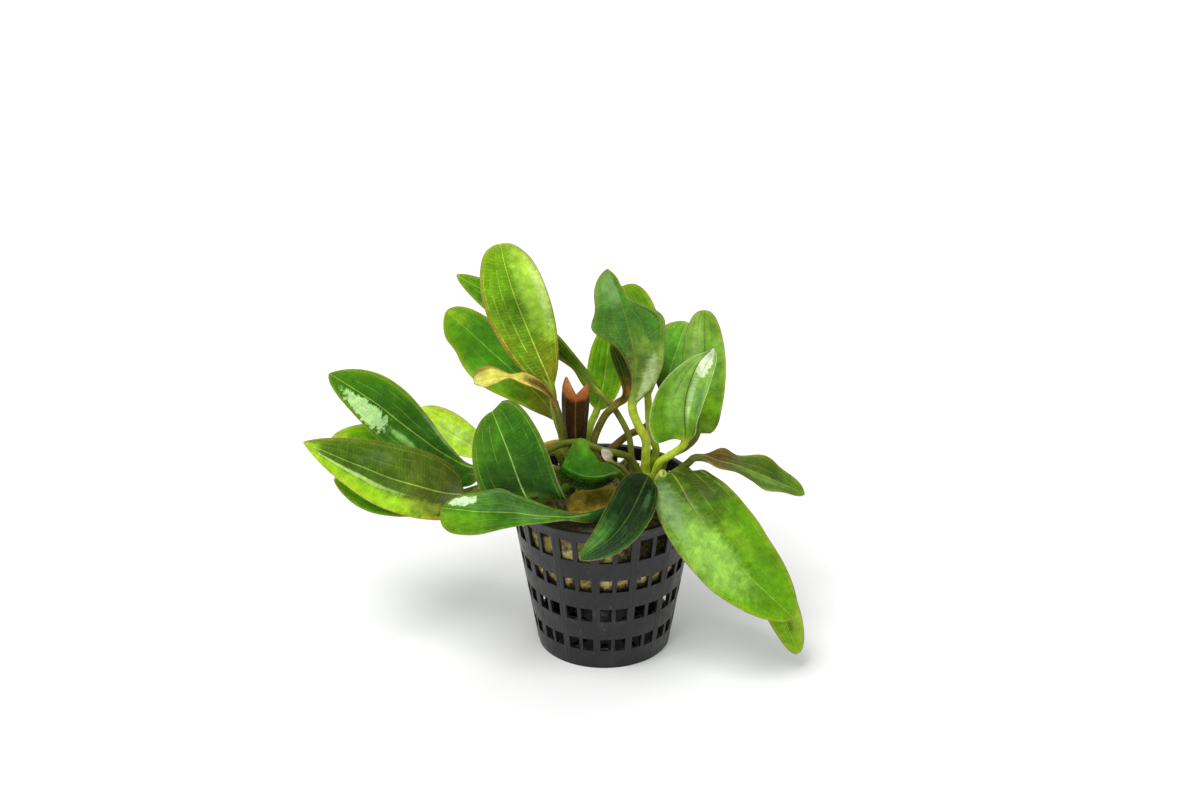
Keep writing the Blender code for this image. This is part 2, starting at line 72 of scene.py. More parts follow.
camera = add_object("camera", bpy.data.cameras.new("camera"))
camera.data.lens = VIEW_LENS
camera.data.sensor_width = VIEW_SENSOR
camera.location = VIEW_TARGET + VIEW_DISTANCE * Vector((0.0, -math.cos(VIEW_TILT), math.sin(VIEW_TILT)))
camera.rotation_euler = (math.radians(90.0) - VIEW_TILT, 0.0, 0.0)
scene.camera = camera
print("camera stands at", [round(x, 3) for x in camera.location])

# %% [markdown]
# Every finish below is a node tree. Written out node by node such a tree is hard to read,
# so the next steps make a few small helpers. The first one is a Wire, which is one output of a
# node: plus, minus, times and divide between wires put Math nodes in the tree.

# %% Wires between nodes


class Wire:
    """One output of a node. Python's signs between wires put Math nodes in its tree."""

    def __init__(self, nodes, socket):
        self.nodes = nodes
        self.socket = socket

    def __add__(self, other):
        return self.nodes.math("ADD", self, other)

    def __sub__(self, other):
        return self.nodes.math("SUBTRACT", self, other)

    def __rsub__(self, other):
        return self.nodes.math("SUBTRACT", other, self)

    def __mul__(self, other):
        return self.nodes.math("MULTIPLY", self, other)

    def __truediv__(self, other):
        return self.nodes.math("DIVIDE", self, other)

    def size(self):
        """The value without its sign."""
        return self.nodes.math("ABSOLUTE", self)

    def upper(self, other):
        """The larger of two values."""
        return self.nodes.math("MAXIMUM", self, other)


print("signs that a wire knows:", "+ - * /")

# %% [markdown]
# The second helper adds nodes to one tree, each in one line with its settings and its inputs.
# The node types that most finishes need, such as noise, a smooth ramp or a mix of two colours,
# have a short name of their own.

# %% Adding nodes


class Nodes:
    """Adds nodes to one tree and returns their outputs as wires."""

    def __init__(self, tree):
        self.tree = tree

    def feed(self, socket, value):
        """Links a wire to a socket, or sets the socket's own value."""
        if isinstance(value, Wire):
            self.tree.links.new(value.socket, socket)
        elif socket.type == "RGBA" and len(value) == 3:
            socket.default_value = (*value, 1.0)
        else:
            socket.default_value = value

    def add(self, kind, inputs=(), output=0, **settings):
        """Adds a node with its settings and its inputs, and returns one of its outputs."""
        node = self.tree.nodes.new(kind)
        for name, value in settings.items():
            setattr(node, name, value)
        for name, value in dict(inputs).items():
            self.feed(node.inputs[name], value)
        return Wire(self, node.outputs[output])

    def math(self, operation, *values):
        """A Math node on one, two or three values."""
        return self.add("ShaderNodeMath", enumerate(values), operation=operation)

    def ramp(self, value, start, end, low=0.0, high=1.0):
        """Goes smoothly from low to high while value goes from start to end."""
        inputs = {"Value": value, "From Min": start, "From Max": end, "To Min": low, "To Max": high}
        return self.add("ShaderNodeMapRange", inputs, interpolation_type="SMOOTHSTEP")

    def mix(self, share, first, second, blend="MIX"):
        """A colour between two colours."""
        inputs = {0: share, 6: first, 7: second}
        return self.add("ShaderNodeMix", inputs, output=2, data_type="RGBA", blend_type=blend)

    def split(self, vector):
        """The three parts of a vector."""
        first = self.add("ShaderNodeSeparateXYZ", {0: vector})
        return [Wire(self, socket) for socket in first.socket.node.outputs]

    def join(self, *parts):
        """A vector of three parts."""
        return self.add("ShaderNodeCombineXYZ", enumerate(parts))

    def place(self):
        """The place on the object, in metres."""
        return self.add("ShaderNodeTexCoord", output="Object")

    def noise(self, vector, scale, detail=3.0, roughness=0.55):
        """Cloudy noise between about 0.2 and 0.8."""
        inputs = {"Vector": vector, "Scale": scale, "Detail": detail, "Roughness": roughness}
        return self.add("ShaderNodeTexNoise", inputs)

    def use(self, group, inputs):
        """Places a node group and returns its outputs by name."""
        first = self.add(group.bl_idname.replace("NodeTree", "NodeGroup"), (), node_tree=group)
        node = first.socket.node
        for name, value in inputs.items():
            self.feed(node.inputs[name], value)
        return {socket.name: Wire(self, socket) for socket in node.outputs}

    def mask(self, group, vector, scale, **values):
        """The mask of one of the shared effects."""
        return self.use(group, {"Vector": vector, "Scale": scale, **values})["Mask"]

    def finish(self, shader, colour, roughness, strength, distance, height):
        """Feeds a shader with a colour, a roughness and a bump of a depth in metres."""
        bump = self.add("ShaderNodeBump", {"Strength": strength, "Distance": distance, "Height": height})
        for label, value in {"Base Color": colour, "Roughness": roughness, "Normal": bump}.items():
            self.feed(shader[label], value)


print("short names for nodes:", ", ".join(name for name in vars(Nodes) if name[0] != "_"))

# %% [markdown]
# A node group is a tree with named sockets that other trees use like one node, and a material
# is a tree that ends in a shader. Both always begin in the same way, so each has a function.
# Values that are the same all over a surface are set on the shader itself.

# %% Groups and materials
SOCKET_KINDS = {float: "NodeSocketFloat", int: "NodeSocketInt", tuple: "NodeSocketVector"}


def new_group(name, kind, inputs, outputs):
    """A node group with named sockets, as its nodes, its inputs by name, and its end node's inputs."""
    tree = bpy.data.node_groups.new(name, kind)
    for label, value in inputs.items():
        given = isinstance(value, str)
        socket = tree.interface.new_socket(
            name=label, in_out="INPUT", socket_type=value if given else SOCKET_KINDS[type(value)])
        if not given:
            socket.default_value = value
    for label, socket_kind in outputs.items():
        tree.interface.new_socket(name=label, in_out="OUTPUT", socket_type=socket_kind)
    nodes = Nodes(tree)
    start = tree.nodes.new("NodeGroupInput")
    end = tree.nodes.new("NodeGroupOutput")
    return nodes, {socket.name: Wire(nodes, socket) for socket in start.outputs}, end.inputs


def new_material(name, **values):
    """A material, as its nodes and its Principled shader, with plain values set on the shader."""
    material = bpy.data.materials.new(name)
    material.use_nodes = True
    nodes = Nodes(material.node_tree)
    shader = material.node_tree.nodes["Principled BSDF"]
    for label, value in values.items():
        nodes.feed(shader.inputs[label.replace("_", " ")], value)
    return material, nodes, shader.inputs


print("sockets for plain values:", ", ".join(SOCKET_KINDS.values()))

# %% [markdown]
# The stage is a pale floor that reaches past the picture on all sides, so no horizon shows.
# A big soft light above and a little in front gives the wet-looking glints on the leaves,
# a smaller one behind shines through the thin blades, and a bright even sky fills the shadows.

# %% Floor, sky and lights
FLOOR_SIZE = 6.0
SKY_STRENGTH = 0.62
LIGHTS = {
    "key_light": ((-0.75, -1.1, 2.7), 1.5, 62.0),
    "back_light": ((0.35, 0.6, 0.7), 0.5, 1.4),
}


def add_floor():
    """A pale floor with the faintest unevenness."""
    mesh_data = bmesh.new()
    bmesh.ops.create_grid(mesh_data, x_segments=1, y_segments=1, size=FLOOR_SIZE / 2)
    mesh = bpy.data.meshes.new("floor")
    mesh_data.to_mesh(mesh)
    mesh_data.free()
    material, nodes, shader = new_material("floor_paper", Roughness=0.9, Specular_IOR_Level=0.1)
    place = nodes.place()
    tone = nodes.mix(nodes.noise(place, 6.0), (0.91, 0.91, 0.91), (0.93, 0.93, 0.93))
    nodes.feed(shader["Base Color"], tone)
    mesh.materials.append(material)
    return add_object("floor", mesh)


def add_light(name, place, size, power):
    """A soft square light that looks at the plant."""
    data = bpy.data.lights.new(name, "AREA")
    data.size = size
    data.energy = power
    light = add_object(name, data)
    light.location = place
    light.rotation_euler = (VIEW_TARGET - Vector(place)).to_track_quat("-Z", "Y").to_euler()


add_floor()
for light_name, (light_place, light_size, light_power) in LIGHTS.items():
    add_light(light_name, light_place, light_size, light_power)
scene.world = bpy.data.worlds.new("sky")
scene.world.use_nodes = True
sky = scene.world.node_tree.nodes["Background"]
sky.inputs["Color"].default_value = (1.0, 1.0, 1.0, 1.0)
sky.inputs["Strength"].default_value = SKY_STRENGTH
scene.view_settings.view_transform = "Standard"
print("lights:", ", ".join(LIGHTS))

# %% [markdown]
# Three effects turn up in more than one finish, so each is a node group with named inputs.
# Mottle is cloudy unevenness, specks are scattered small spots of which some cells stay empty,
# and scratches are fine lines that run one way. A group puts out only a mask, and each
# material decides what the mask does.

# %% Shared effects


def mottle_group():
    """Cloudy patches: 1 inside them, 0 outside."""
    nodes, inputs, end = new_group(
        "mottle", "ShaderNodeTree",
        {"Vector": (0.0, 0.0, 0.0), "Scale": 300.0, "From": 0.4, "To": 0.6}, {"Mask": "NodeSocketFloat"})
    cloud = nodes.noise(inputs["Vector"], inputs["Scale"], detail=5.0, roughness=0.6)
    nodes.feed(end["Mask"], nodes.ramp(cloud, inputs["From"], inputs["To"]))
    return nodes.tree


def specks_group():
    """Scattered round spots, in a share of the cells of a grid."""
    nodes, inputs, end = new_group(
        "specks", "ShaderNodeTree",
        {"Vector": (0.0, 0.0, 0.0), "Scale": 600.0, "Size": 0.25, "Share": 0.3}, {"Mask": "NodeSocketFloat"})
    cell = nodes.add("ShaderNodeTexVoronoi", {"Vector": inputs["Vector"], "Scale": inputs["Scale"]})
    luck = nodes.split(Wire(nodes, cell.socket.node.outputs["Color"]))[0]
    spot = nodes.ramp(cell, inputs["Size"], inputs["Size"] * 0.6)
    chosen = nodes.math("LESS_THAN", luck, inputs["Share"])
    nodes.feed(end["Mask"], spot * chosen)
    return nodes.tree


def scratches_group():
    """Fine broken lines that run along the third axis of the vector."""
    nodes, inputs, end = new_group(
        "scratches", "ShaderNodeTree",
        {"Vector": (0.0, 0.0, 0.0), "Scale": 1500.0, "Stretch": 0.06, "Share": 0.62},
        {"Mask": "NodeSocketFloat"})
    x, y, z = nodes.split(inputs["Vector"])
    drawn_out = nodes.join(x, y, z * inputs["Stretch"])
    line = nodes.noise(drawn_out, inputs["Scale"], detail=2.0)
    nodes.feed(end["Mask"], nodes.ramp(line, inputs["Share"], inputs["Share"] + 0.06))
    return nodes.tree


MOTTLE = mottle_group()
SPECKS = specks_group()
SCRATCHES = scratches_group()
print("effects:", MOTTLE.name, SPECKS.name, SCRATCHES.name)

# %% [markdown]
# The net pot is injection moulded: a tapered wall one millimetre thick, with four rows of
# windows in pairs, a thicker lip and a slotted floor. Black plastic with a satin skin has a
# fine grain, faint flow marks, scratches from handling and a thin film of lime and algae.

# %% Pot plastic


def pot_finish():
    """Satin black plastic with grain, handling scratches and a thin dry film."""
    material, nodes, shader = new_material("pot_plastic", Coat_Weight=0.05, Coat_Roughness=0.2,
                                           Specular_IOR_Level=0.35)
    place = nodes.place()
    film = nodes.mask(MOTTLE, place, 90.0, From=0.45, To=0.75)
    flow = nodes.mask(MOTTLE, place, 400.0, From=0.35, To=0.7)
    scratch = nodes.mask(SCRATCHES, place, 1800.0, Share=0.66)
    dirt = nodes.mask(SPECKS, place, 420.0, Size=0.28, Share=0.09)
    grain = nodes.noise(place, 5200.0, detail=2.0)
    colour = nodes.mix(film, (0.006, 0.006, 0.007), (0.020, 0.020, 0.021))
    colour = nodes.mix(scratch * 0.35, colour, (0.09, 0.09, 0.09))
    colour = nodes.mix(dirt * 0.6, colour, (0.05, 0.055, 0.02))
    roughness = nodes.ramp(flow, 0.0, 1.0, 0.33, 0.47) + scratch * 0.1
    height = grain * 0.25 + flow * 0.3 + dirt * 0.8 - scratch * 0.3
    nodes.finish(shader, colour, roughness, 0.35, 0.08 * MM, height)
    return material


POT_PLASTIC = pot_finish()
print("finish:", POT_PLASTIC.name)

# %% [markdown]
# The wall repeats fourteen times round the pot, once for each pair of window columns. So only
# one upright strip is modelled, flat, with all its windows and their rounded edges.
# It is as wide as the pitch at the middle radius, and it will be bent to the taper later.

# %% Sizes of the pot
POT_HEIGHT = 49.0
POT_TOP_RADIUS = 27.5
POT_BASE_RADIUS = 19.2
POT_WALL = 1.0
POT_FLOOR = 1.5
LIP_HEIGHT = 2.0
LIP_REACH = 0.45
HOLE_ROWS = ((6.3, 10.5), (17.1, 21.6), (27.8, 32.0), (38.3, 45.4))
HOLE_PAIRS = 14
HOLE_ANGLE = 8.5
PAIR_GAP_ANGLE = 3.0
FIRST_PAIR_ANGLE = -83.0
FOOT_ROUNDING = 0.9
EDGE_ROUNDING = 0.18
RIB_REACH = 0.1
RIB_WIDTH = 0.28
STRIP_RADIUS = (POT_TOP_RADIUS + POT_BASE_RADIUS) / 2
MM_PER_DEGREE = math.radians(STRIP_RADIUS)
STRIP_HALF = 180.0 / HOLE_PAIRS * MM_PER_DEGREE
HOLE_STARTS = (PAIR_GAP_ANGLE / 2 * MM_PER_DEGREE, (PAIR_GAP_ANGLE / 2 + HOLE_ANGLE) * MM_PER_DEGREE)
RIB_PLACE = (HOLE_STARTS[1] + STRIP_HALF) / 2
print("one strip is", round(2 * STRIP_HALF, 2), "mm wide and", POT_HEIGHT, "mm high")

# %% [markdown]
# The strip begins as a grid of points whose lines run along every edge of a window. Each field
# of the grid is either solid or open. Solid fields get a front and a back face, and a wall goes
# where a solid field meets an open one. Last, a bevel rounds the edges of the windows, because
# moulded plastic has no knife edges and they catch the light.

# %% One flat strip of the wall
STRIP_STEP_ACROSS = 0.55
STRIP_STEP_UP = 1.6
FOOT_STEP = 0.25
LIP_STEPS = (0.0, 0.25, 0.5, 0.75, 1.0)


def lines_between(edges, step):
    """Places from the first edge to the last: every edge, and no gap wider than step."""
    places = [edges[0]]
    for start, end in zip(edges, edges[1:]):
        count = max(1, math.ceil((end - start) / step))
        places += [start + (end - start) * i / count for i in range(1, count + 1)]
    return places


def strip_depth(x, z):
    """How far the outer face of the strip stands out: a rounded foot, a rib and the lip."""
    depth = RIB_REACH * math.exp(-((abs(x) - RIB_PLACE) / RIB_WIDTH) ** 2)
    if z < FOOT_ROUNDING:
        depth -= FOOT_ROUNDING - math.sqrt(FOOT_ROUNDING ** 2 - (FOOT_ROUNDING - z) ** 2)
    share = min(1.0, max(0.0, (z - (POT_HEIGHT - LIP_HEIGHT)) / (2 * LIP_REACH)))
    return max(depth, LIP_REACH * share * share * (3 - 2 * share))


def in_hole(x, z):
    """Whether a place of the strip lies in one of its windows."""
    low, high = HOLE_STARTS
    return low < abs(x) < high and any(bottom < z < top for bottom, top in HOLE_ROWS)


def wall_strip():
    """The flat strip as a mesh in metres: x along the wall, y outwards, z up."""
    side = lines_between([0.0, HOLE_STARTS[0], HOLE_STARTS[1], RIB_PLACE, STRIP_HALF], STRIP_STEP_ACROSS)
    xs = [-x for x in side[:0:-1]] + side
    levels = [0.0, FOOT_STEP, FOOT_ROUNDING] + [z for row in HOLE_ROWS for z in row]
    levels += [POT_HEIGHT - LIP_HEIGHT + 2 * LIP_REACH * share for share in LIP_STEPS]
    zs = lines_between(levels + [POT_HEIGHT], STRIP_STEP_UP)
    mesh_data = bmesh.new()
    front = [[mesh_data.verts.new((x, strip_depth(x, z), z)) for x in xs] for z in zs]
    back = [[mesh_data.verts.new((x, -POT_WALL, z)) for x in xs] for z in zs]
    solid = [[not in_hole((xs[i] + xs[i + 1]) / 2, (zs[j] + zs[j + 1]) / 2)
              for i in range(len(xs) - 1)] for j in range(len(zs) - 1)]
    rim_edges = []

    def close(first, second):
        mesh_data.faces.new((front[first[0]][first[1]], front[second[0]][second[1]],
                             back[second[0]][second[1]], back[first[0]][first[1]]))
        for face in (front, back):
            rim_edges.append((face[first[0]][first[1]], face[second[0]][second[1]]))

    def filled(j, i):
        return 0 <= j < len(zs) - 1 and solid[j][i]

    for j in range(len(zs) - 1):
        for i in range(len(xs) - 1):
            if solid[j][i]:
                corners = ((j, i), (j, i + 1), (j + 1, i + 1), (j + 1, i))
                mesh_data.faces.new([front[a][b] for a, b in corners])
                mesh_data.faces.new([back[a][b] for a, b in reversed(corners)])
            if i and solid[j][i] != solid[j][i - 1]:
                ends = ((j, i), (j + 1, i))
                close(*(ends if solid[j][i] else ends[::-1]))
    for j in range(len(zs)):
        for i in range(len(xs) - 1):
            if filled(j, i) != filled(j - 1, i):
                ends = ((j, i), (j, i + 1))
                close(*(ends[::-1] if filled(j, i) else ends))
    edges = {mesh_data.edges.get(pair) for pair in rim_edges if min(v.co.z for v in pair) > 0.0}
    bmesh.ops.bevel(mesh_data, geom=sorted(edges, key=lambda edge: edge.index), offset=EDGE_ROUNDING,
                    offset_type="OFFSET", segments=2, profile=0.5, affect="EDGES", clamp_overlap=True)
    bmesh.ops.scale(mesh_data, vec=(MM, MM, MM), verts=mesh_data.verts)
    mesh = bpy.data.meshes.new("pot_strip")
    mesh_data.to_mesh(mesh)
    mesh_data.free()
    return mesh


strip = wall_strip()
print("one strip has", len(strip.polygons), "faces")

# %% [markdown]
# Geometry Nodes set the strip fourteen times side by side, weld the copies, and bend the row
# into a ring: the place along the row becomes an angle, and the height decides the radius.
# The floor is a disc with eight radial slots cut by a Boolean. Every size is a named input.

# %% Node tree of the pot
FLOOR_SIDES = 8 * HOLE_PAIRS
WELD_DISTANCE = 0.00002


def pot_tree():
    """Repeats a flat strip round a tapered pot and adds a slotted floor."""
    nodes, size, end = new_group(
        "net_pot", "GeometryNodeTree",
        {"Geometry": "NodeSocketGeometry", "Strips": 14, "Strip Width": 0.01, "First Angle": 0.0,
         "Height": 0.05, "Base Radius": 0.02, "Top Radius": 0.03, "Strip Radius": 0.025,
         "Floor Radius": 0.018, "Floor Thickness": 0.0015, "Slots": 8, "Slot Start": 0.008,
         "Slot End": 0.014, "Slot Width": 0.002, "Material": "NodeSocketMaterial"},
        {"Geometry": "NodeSocketGeometry"})
    step = nodes.join(size["Strip Width"], 0.0, 0.0)
    row = nodes.add("GeometryNodeMeshLine", {"Count": size["Strips"], "Offset": step})
    copies = nodes.add("GeometryNodeInstanceOnPoints", {"Points": row, "Instance": size["Geometry"]})
    wall = nodes.add("GeometryNodeRealizeInstances", {0: copies})
    x, y, z = nodes.split(nodes.add("GeometryNodeInputPosition"))
    angle = size["First Angle"] + x / size["Strip Radius"]
    radius = size["Base Radius"] + (size["Top Radius"] - size["Base Radius"]) * z / size["Height"] + y
    bent = nodes.join(radius * nodes.math("COSINE", angle), radius * nodes.math("SINE", angle), z)
    wall = nodes.add("GeometryNodeSetPosition", {"Geometry": wall, "Position": bent})
    wall = nodes.add("GeometryNodeMergeByDistance", {"Geometry": wall, "Distance": WELD_DISTANCE})

    half = size["Floor Thickness"] / 2.0
    disc = nodes.add("GeometryNodeMeshCylinder", {
        "Vertices": FLOOR_SIDES, "Radius": size["Floor Radius"], "Depth": size["Floor Thickness"]})
    disc = nodes.add("GeometryNodeTransform", {"Geometry": disc, "Translation": nodes.join(0.0, 0.0, half)})
    length = size["Slot End"] - size["Slot Start"]
    middle = (size["Slot End"] + size["Slot Start"]) / 2.0
    cutter = nodes.add("GeometryNodeMeshCube", {
        "Size": nodes.join(length, size["Slot Width"], size["Floor Thickness"] * 3.0)})
    cutter = nodes.add("GeometryNodeTransform", {
        "Geometry": cutter, "Translation": nodes.join(middle, 0.0, half)})
    places = nodes.add("GeometryNodePoints", {"Count": size["Slots"]})
    turn = nodes.add("GeometryNodeInputIndex") * math.tau / size["Slots"]
    cutters = nodes.add("GeometryNodeInstanceOnPoints", {
        "Points": places, "Instance": cutter, "Rotation": nodes.join(0.0, 0.0, turn)})
    cutters = nodes.add("GeometryNodeRealizeInstances", {0: cutters})
    base = nodes.add("GeometryNodeMeshBoolean", {"Mesh 1": disc, "Mesh 2": cutters}, operation="DIFFERENCE")

    joined = nodes.add("GeometryNodeJoinGeometry")
    for piece in (wall, base):
        nodes.tree.links.new(piece.socket, joined.socket.node.inputs[0])
    real = nodes.add("GeometryNodeRealizeInstances", {0: joined})
    painted = nodes.add("GeometryNodeSetMaterial", {"Geometry": real, "Material": size["Material"]})
    nodes.feed(end["Geometry"], painted)
    return nodes.tree


POT_TREE = pot_tree()
print("inputs of the tree:", sum(item.in_out == "INPUT" for item in POT_TREE.interface.items_tree))

# %% [markdown]
# A tree runs as a modifier. Its inputs are set by their identifiers before the object is first
# looked at, and the result is then stored as a plain mesh. Every piece ends in the same way: it
# is fastened to the plant's one body and takes the place of its node.

# %% Build the pot
SLOT_COUNT = 8
SLOT_RADII = (8.0, 14.0)
SLOT_WIDTH = 2.1
FLOOR_INSET = 0.45
SHARP_ANGLE = math.radians(40.0)


def run_tree(name, tree, mesh, values):
    """Runs a Geometry Nodes tree on a mesh and returns the result as an object with a plain mesh."""
    thing = add_object(name, mesh)
    modifier = thing.modifiers.new("shape", "NODES")
    modifier.node_group = tree
    for item in tree.interface.items_tree:
        if item.in_out == "INPUT" and item.name in values:
            modifier[item.identifier] = values[item.name]
    graph = bpy.context.evaluated_depsgraph_get()
    made = bpy.data.meshes.new_from_object(thing.evaluated_get(graph))
    thing.modifiers.clear()
    thing.data = made
    return thing


def count_triangles(mesh):
    """How many triangles the faces of a mesh come to."""
    return sum(len(face.vertices) - 2 for face in mesh.polygons)


def finish_piece(piece, node):
    """Fastens a piece to the plant's one body, in place of its node."""
    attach(piece, "root")
    if node:
        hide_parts(node)
    print(f"{piece.name}: {count_triangles(piece.data)} triangles")


pot = run_tree("net_pot", POT_TREE, strip, {
    "Strips": HOLE_PAIRS, "Strip Width": 2 * STRIP_HALF * MM, "First Angle": math.radians(FIRST_PAIR_ANGLE),
    "Height": POT_HEIGHT * MM, "Base Radius": POT_BASE_RADIUS * MM, "Top Radius": POT_TOP_RADIUS * MM,
    "Strip Radius": STRIP_RADIUS * MM, "Floor Radius": (POT_BASE_RADIUS - FLOOR_INSET) * MM,
    "Floor Thickness": POT_FLOOR * MM, "Slots": SLOT_COUNT, "Slot Start": SLOT_RADII[0] * MM,
    "Slot End": SLOT_RADII[1] * MM, "Slot Width": SLOT_WIDTH * MM, "Material": POT_PLASTIC})
pot.data.shade_smooth()
pot.data.set_sharp_from_angle(angle=SHARP_ANGLE)
finish_piece(pot, "pot")

# %% [markdown]
# Rock wool is a felt of spun mineral fibres, yellowish beige where it is clean, brown and green
# where algae and old roots colour it. Its finish mixes those tones by cloudy masks, is darker on
# its top and near black at its foot, has painted shade on its sunk side, behind the front of the
# rim and in the cracks of the felt, and is almost fully rough. The same finish is used on the
# body of the plug and on its loose fibres.

# %% Wool finish
WOOL_ROUGHNESS = 0.95


def wool_finish():
    """Matte mineral felt, stained brown and green in patches."""
    material, nodes, shader = new_material("wool_felt", Specular_IOR_Level=0.15,
                                           Subsurface_Weight=0.15, Subsurface_Scale=0.001)
    place = nodes.place()
    x, y, z = nodes.split(place)
    stain = nodes.mask(MOTTLE, place, 130.0, From=0.42, To=0.62)
    algae = nodes.mask(MOTTLE, place, 210.0, From=0.5, To=0.68)
    threads = nodes.mask(SCRATCHES, place, 2600.0, Stretch=0.3, Share=0.5)
    top = nodes.ramp(z, 0.0415, 0.0435)
    colour = nodes.mix(stain, (0.92, 0.82, 0.34), (0.60, 0.46, 0.14))
    colour = nodes.mix(algae * 0.6, colour, (0.13, 0.15, 0.02))
    colour = nodes.mix(top * 0.9, colour, (0.060, 0.048, 0.004))
    # Painted shade: the upper part of the plug's sunk right side is darkened.
    sunk_side_shade = nodes.ramp(x - y * 0.3, 0.006, 0.014) * nodes.ramp(z, 0.033, 0.037)
    colour = nodes.mix(sunk_side_shade * 0.92, colour, (0.016, 0.014, 0.005))
    colour = nodes.mix(threads * 0.4, colour, (0.55, 0.46, 0.22))
    cracks = nodes.noise(place, 380.0, detail=5.0, roughness=0.7)
    # Painted shade in the cracks of the felt.
    crack_shade = nodes.ramp(cracks, 0.5, 0.4)
    foot = nodes.ramp(z + (cracks - 0.5) * 0.008, 0.0302, 0.0285)
    # Painted shade on the top of the plug just behind the front of the rim.
    front = nodes.ramp(y, -0.0080, -0.0110) * nodes.ramp(z, 0.0422, 0.0432)
    # Near black at the foot of the plug and in the painted shade behind the rim.
    colour = nodes.mix(foot.upper(front) * 0.9, colour, (0.012, 0.011, 0.004))
    colour = nodes.mix(crack_shade * 0.75, colour, (0.05, 0.04, 0.01))
    height = threads + nodes.noise(place, 1400.0, detail=6.0) * 1.5
    nodes.finish(shader, colour, WOOL_ROUGHNESS, 0.9, 0.4 * MM, height)
    return material


WOOL_FELT = wool_finish()
print("finish:", WOOL_FELT.name)

# %% [markdown]
# The plug fills the upper half of the pot and is sunk at its right front. Its body is a ring
# of profiles with noise on it, closed by a point at each end. The top is the lumpiest part.

# %% Body of the plug
WOOL_BOTTOM = 25.0
WOOL_TOP = 44.0
WOOL_GAP = 0.4
WOOL_SIDES = 180
WOOL_SUNK_SIDE = math.radians(-35.0)
WOOL_SUNK_DEPTH = 7.0
WOOL_BACK_RISE = 2.8
WOOL_EDGE = 1.5
WOOL_RADIUS = 24.0
WOOL_SIDE_RINGS = 30
WOOL_TOP_RINGS = 34
WOOL_ROUNDING = 12


def pot_radius(height):
    """The pot wall's outer radius at a height, in millimetres."""
    return POT_BASE_RADIUS + (POT_TOP_RADIUS - POT_BASE_RADIUS) * height / POT_HEIGHT


def wool_top(x, y):
    """Height of the plug's top at a place, in millimetres."""
    angle = math.atan2(y, x)
    share = min(1.0, math.hypot(x, y) / WOOL_RADIUS)
    sunk = (0.5 + 0.5 * math.cos(angle - WOOL_SUNK_SIDE)) ** 4
    lump = noise.fractal(Vector((x, y, 3.0)) * 0.22, 0.7, 2.0, 5)
    rise = WOOL_BACK_RISE * min(1.0, max(0.0, 2 * math.sin(angle)))
    level = WOOL_TOP - share ** 2 * (WOOL_SUNK_DEPTH * sunk + 0.8) + rise * share ** 6
    return level + 1.3 * lump * (0.4 + share)


def closed_skin(name, rings, first_end, last_end):
    """A closed mesh in metres, from rings of equally many points and a point at each end."""
    rings = np.asarray(rings, float)
    count, around = rings.shape[:2]
    points = np.concatenate([rings.reshape(-1, 3), [first_end], [last_end]])
    here = np.arange(around)
    after = (here + 1) % around
    faces = []
    for k in range(count - 1):
        low, high = k * around, (k + 1) * around
        faces += np.stack([low + here, low + after, high + after, high + here], axis=1).tolist()
    last = (count - 1) * around
    faces += np.stack([np.full(around, count * around), after, here], axis=1).tolist()
    faces += np.stack([np.full(around, count * around + 1), last + here, last + after], axis=1).tolist()
    mesh = bpy.data.meshes.new(name)
    mesh.from_pydata(points * MM, [], faces)
    a, b, c = (points[[face[i] for face in faces]] for i in range(3))
    if np.einsum("ij,ij->i", a, np.cross(b, c)).sum() < 0:
        mesh.flip_normals()
    mesh.shade_smooth()
    return mesh


def wool_body():
    """The plug's body: up its side, over its edge and in to the middle of its top."""
    rings = []
    around = np.arange(WOOL_SIDES) * math.tau / WOOL_SIDES
    for share in np.linspace(0.0, 1.0, WOOL_SIDE_RINGS):
        ring = []
        for angle in around:
            x, y = math.cos(angle), math.sin(angle)
            brim = wool_top(WOOL_RADIUS * x, WOOL_RADIUS * y) - WOOL_EDGE
            z = WOOL_BOTTOM + (brim - WOOL_BOTTOM) * share
            rough = noise.fractal(Vector((20 * x, 20 * y, z)) * 0.5, 0.7, 2.0, 4)
            radius = pot_radius(z) - POT_WALL - WOOL_GAP - 0.35 * abs(rough)
            radius -= 2.0 * max(0.0, 1 - share * WOOL_ROUNDING) ** 2
            ring.append((radius * x, radius * y, z))
        rings.append(ring)
    edge = rings[-1]
    for share in np.linspace(0.0, 1.0, WOOL_TOP_RINGS)[1:-1]:
        ring = []
        for x, y, z in edge:
            top_x, top_y = x * (1 - share), y * (1 - share)
            over = 1 - (1 - min(1.0, share * WOOL_ROUNDING)) ** 2
            ring.append((top_x, top_y, z + (wool_top(top_x, top_y) - z) * over))
        rings.append(ring)
    return closed_skin("wool_body", rings, (0.0, 0.0, WOOL_BOTTOM), (0.0, 0.0, wool_top(0.0, 0.0)))


wool_mesh = wool_body()
wool_mesh.materials.append(WOOL_FELT)
wool = add_object("wool_plug", wool_mesh)
finish_piece(wool, "rock_wool")

# %% [markdown]
# Loose fibres make the difference between felt and clay. Geometry Nodes scatter points on the
# body, lay one small bent fibre on each, turned at random in the plane of the surface, and make
# the copies real. A three-sided tube is enough for a hair that is thinner than a pixel.

# %% Loose fibres of the wool
FIBRES_PER_SQUARE_MM = 0.85
FIBRE_LENGTH = 3.4
FIBRE_HUMP = 0.3
FIBRE_THICKNESS = 0.09
FIBRE_SEED = 4


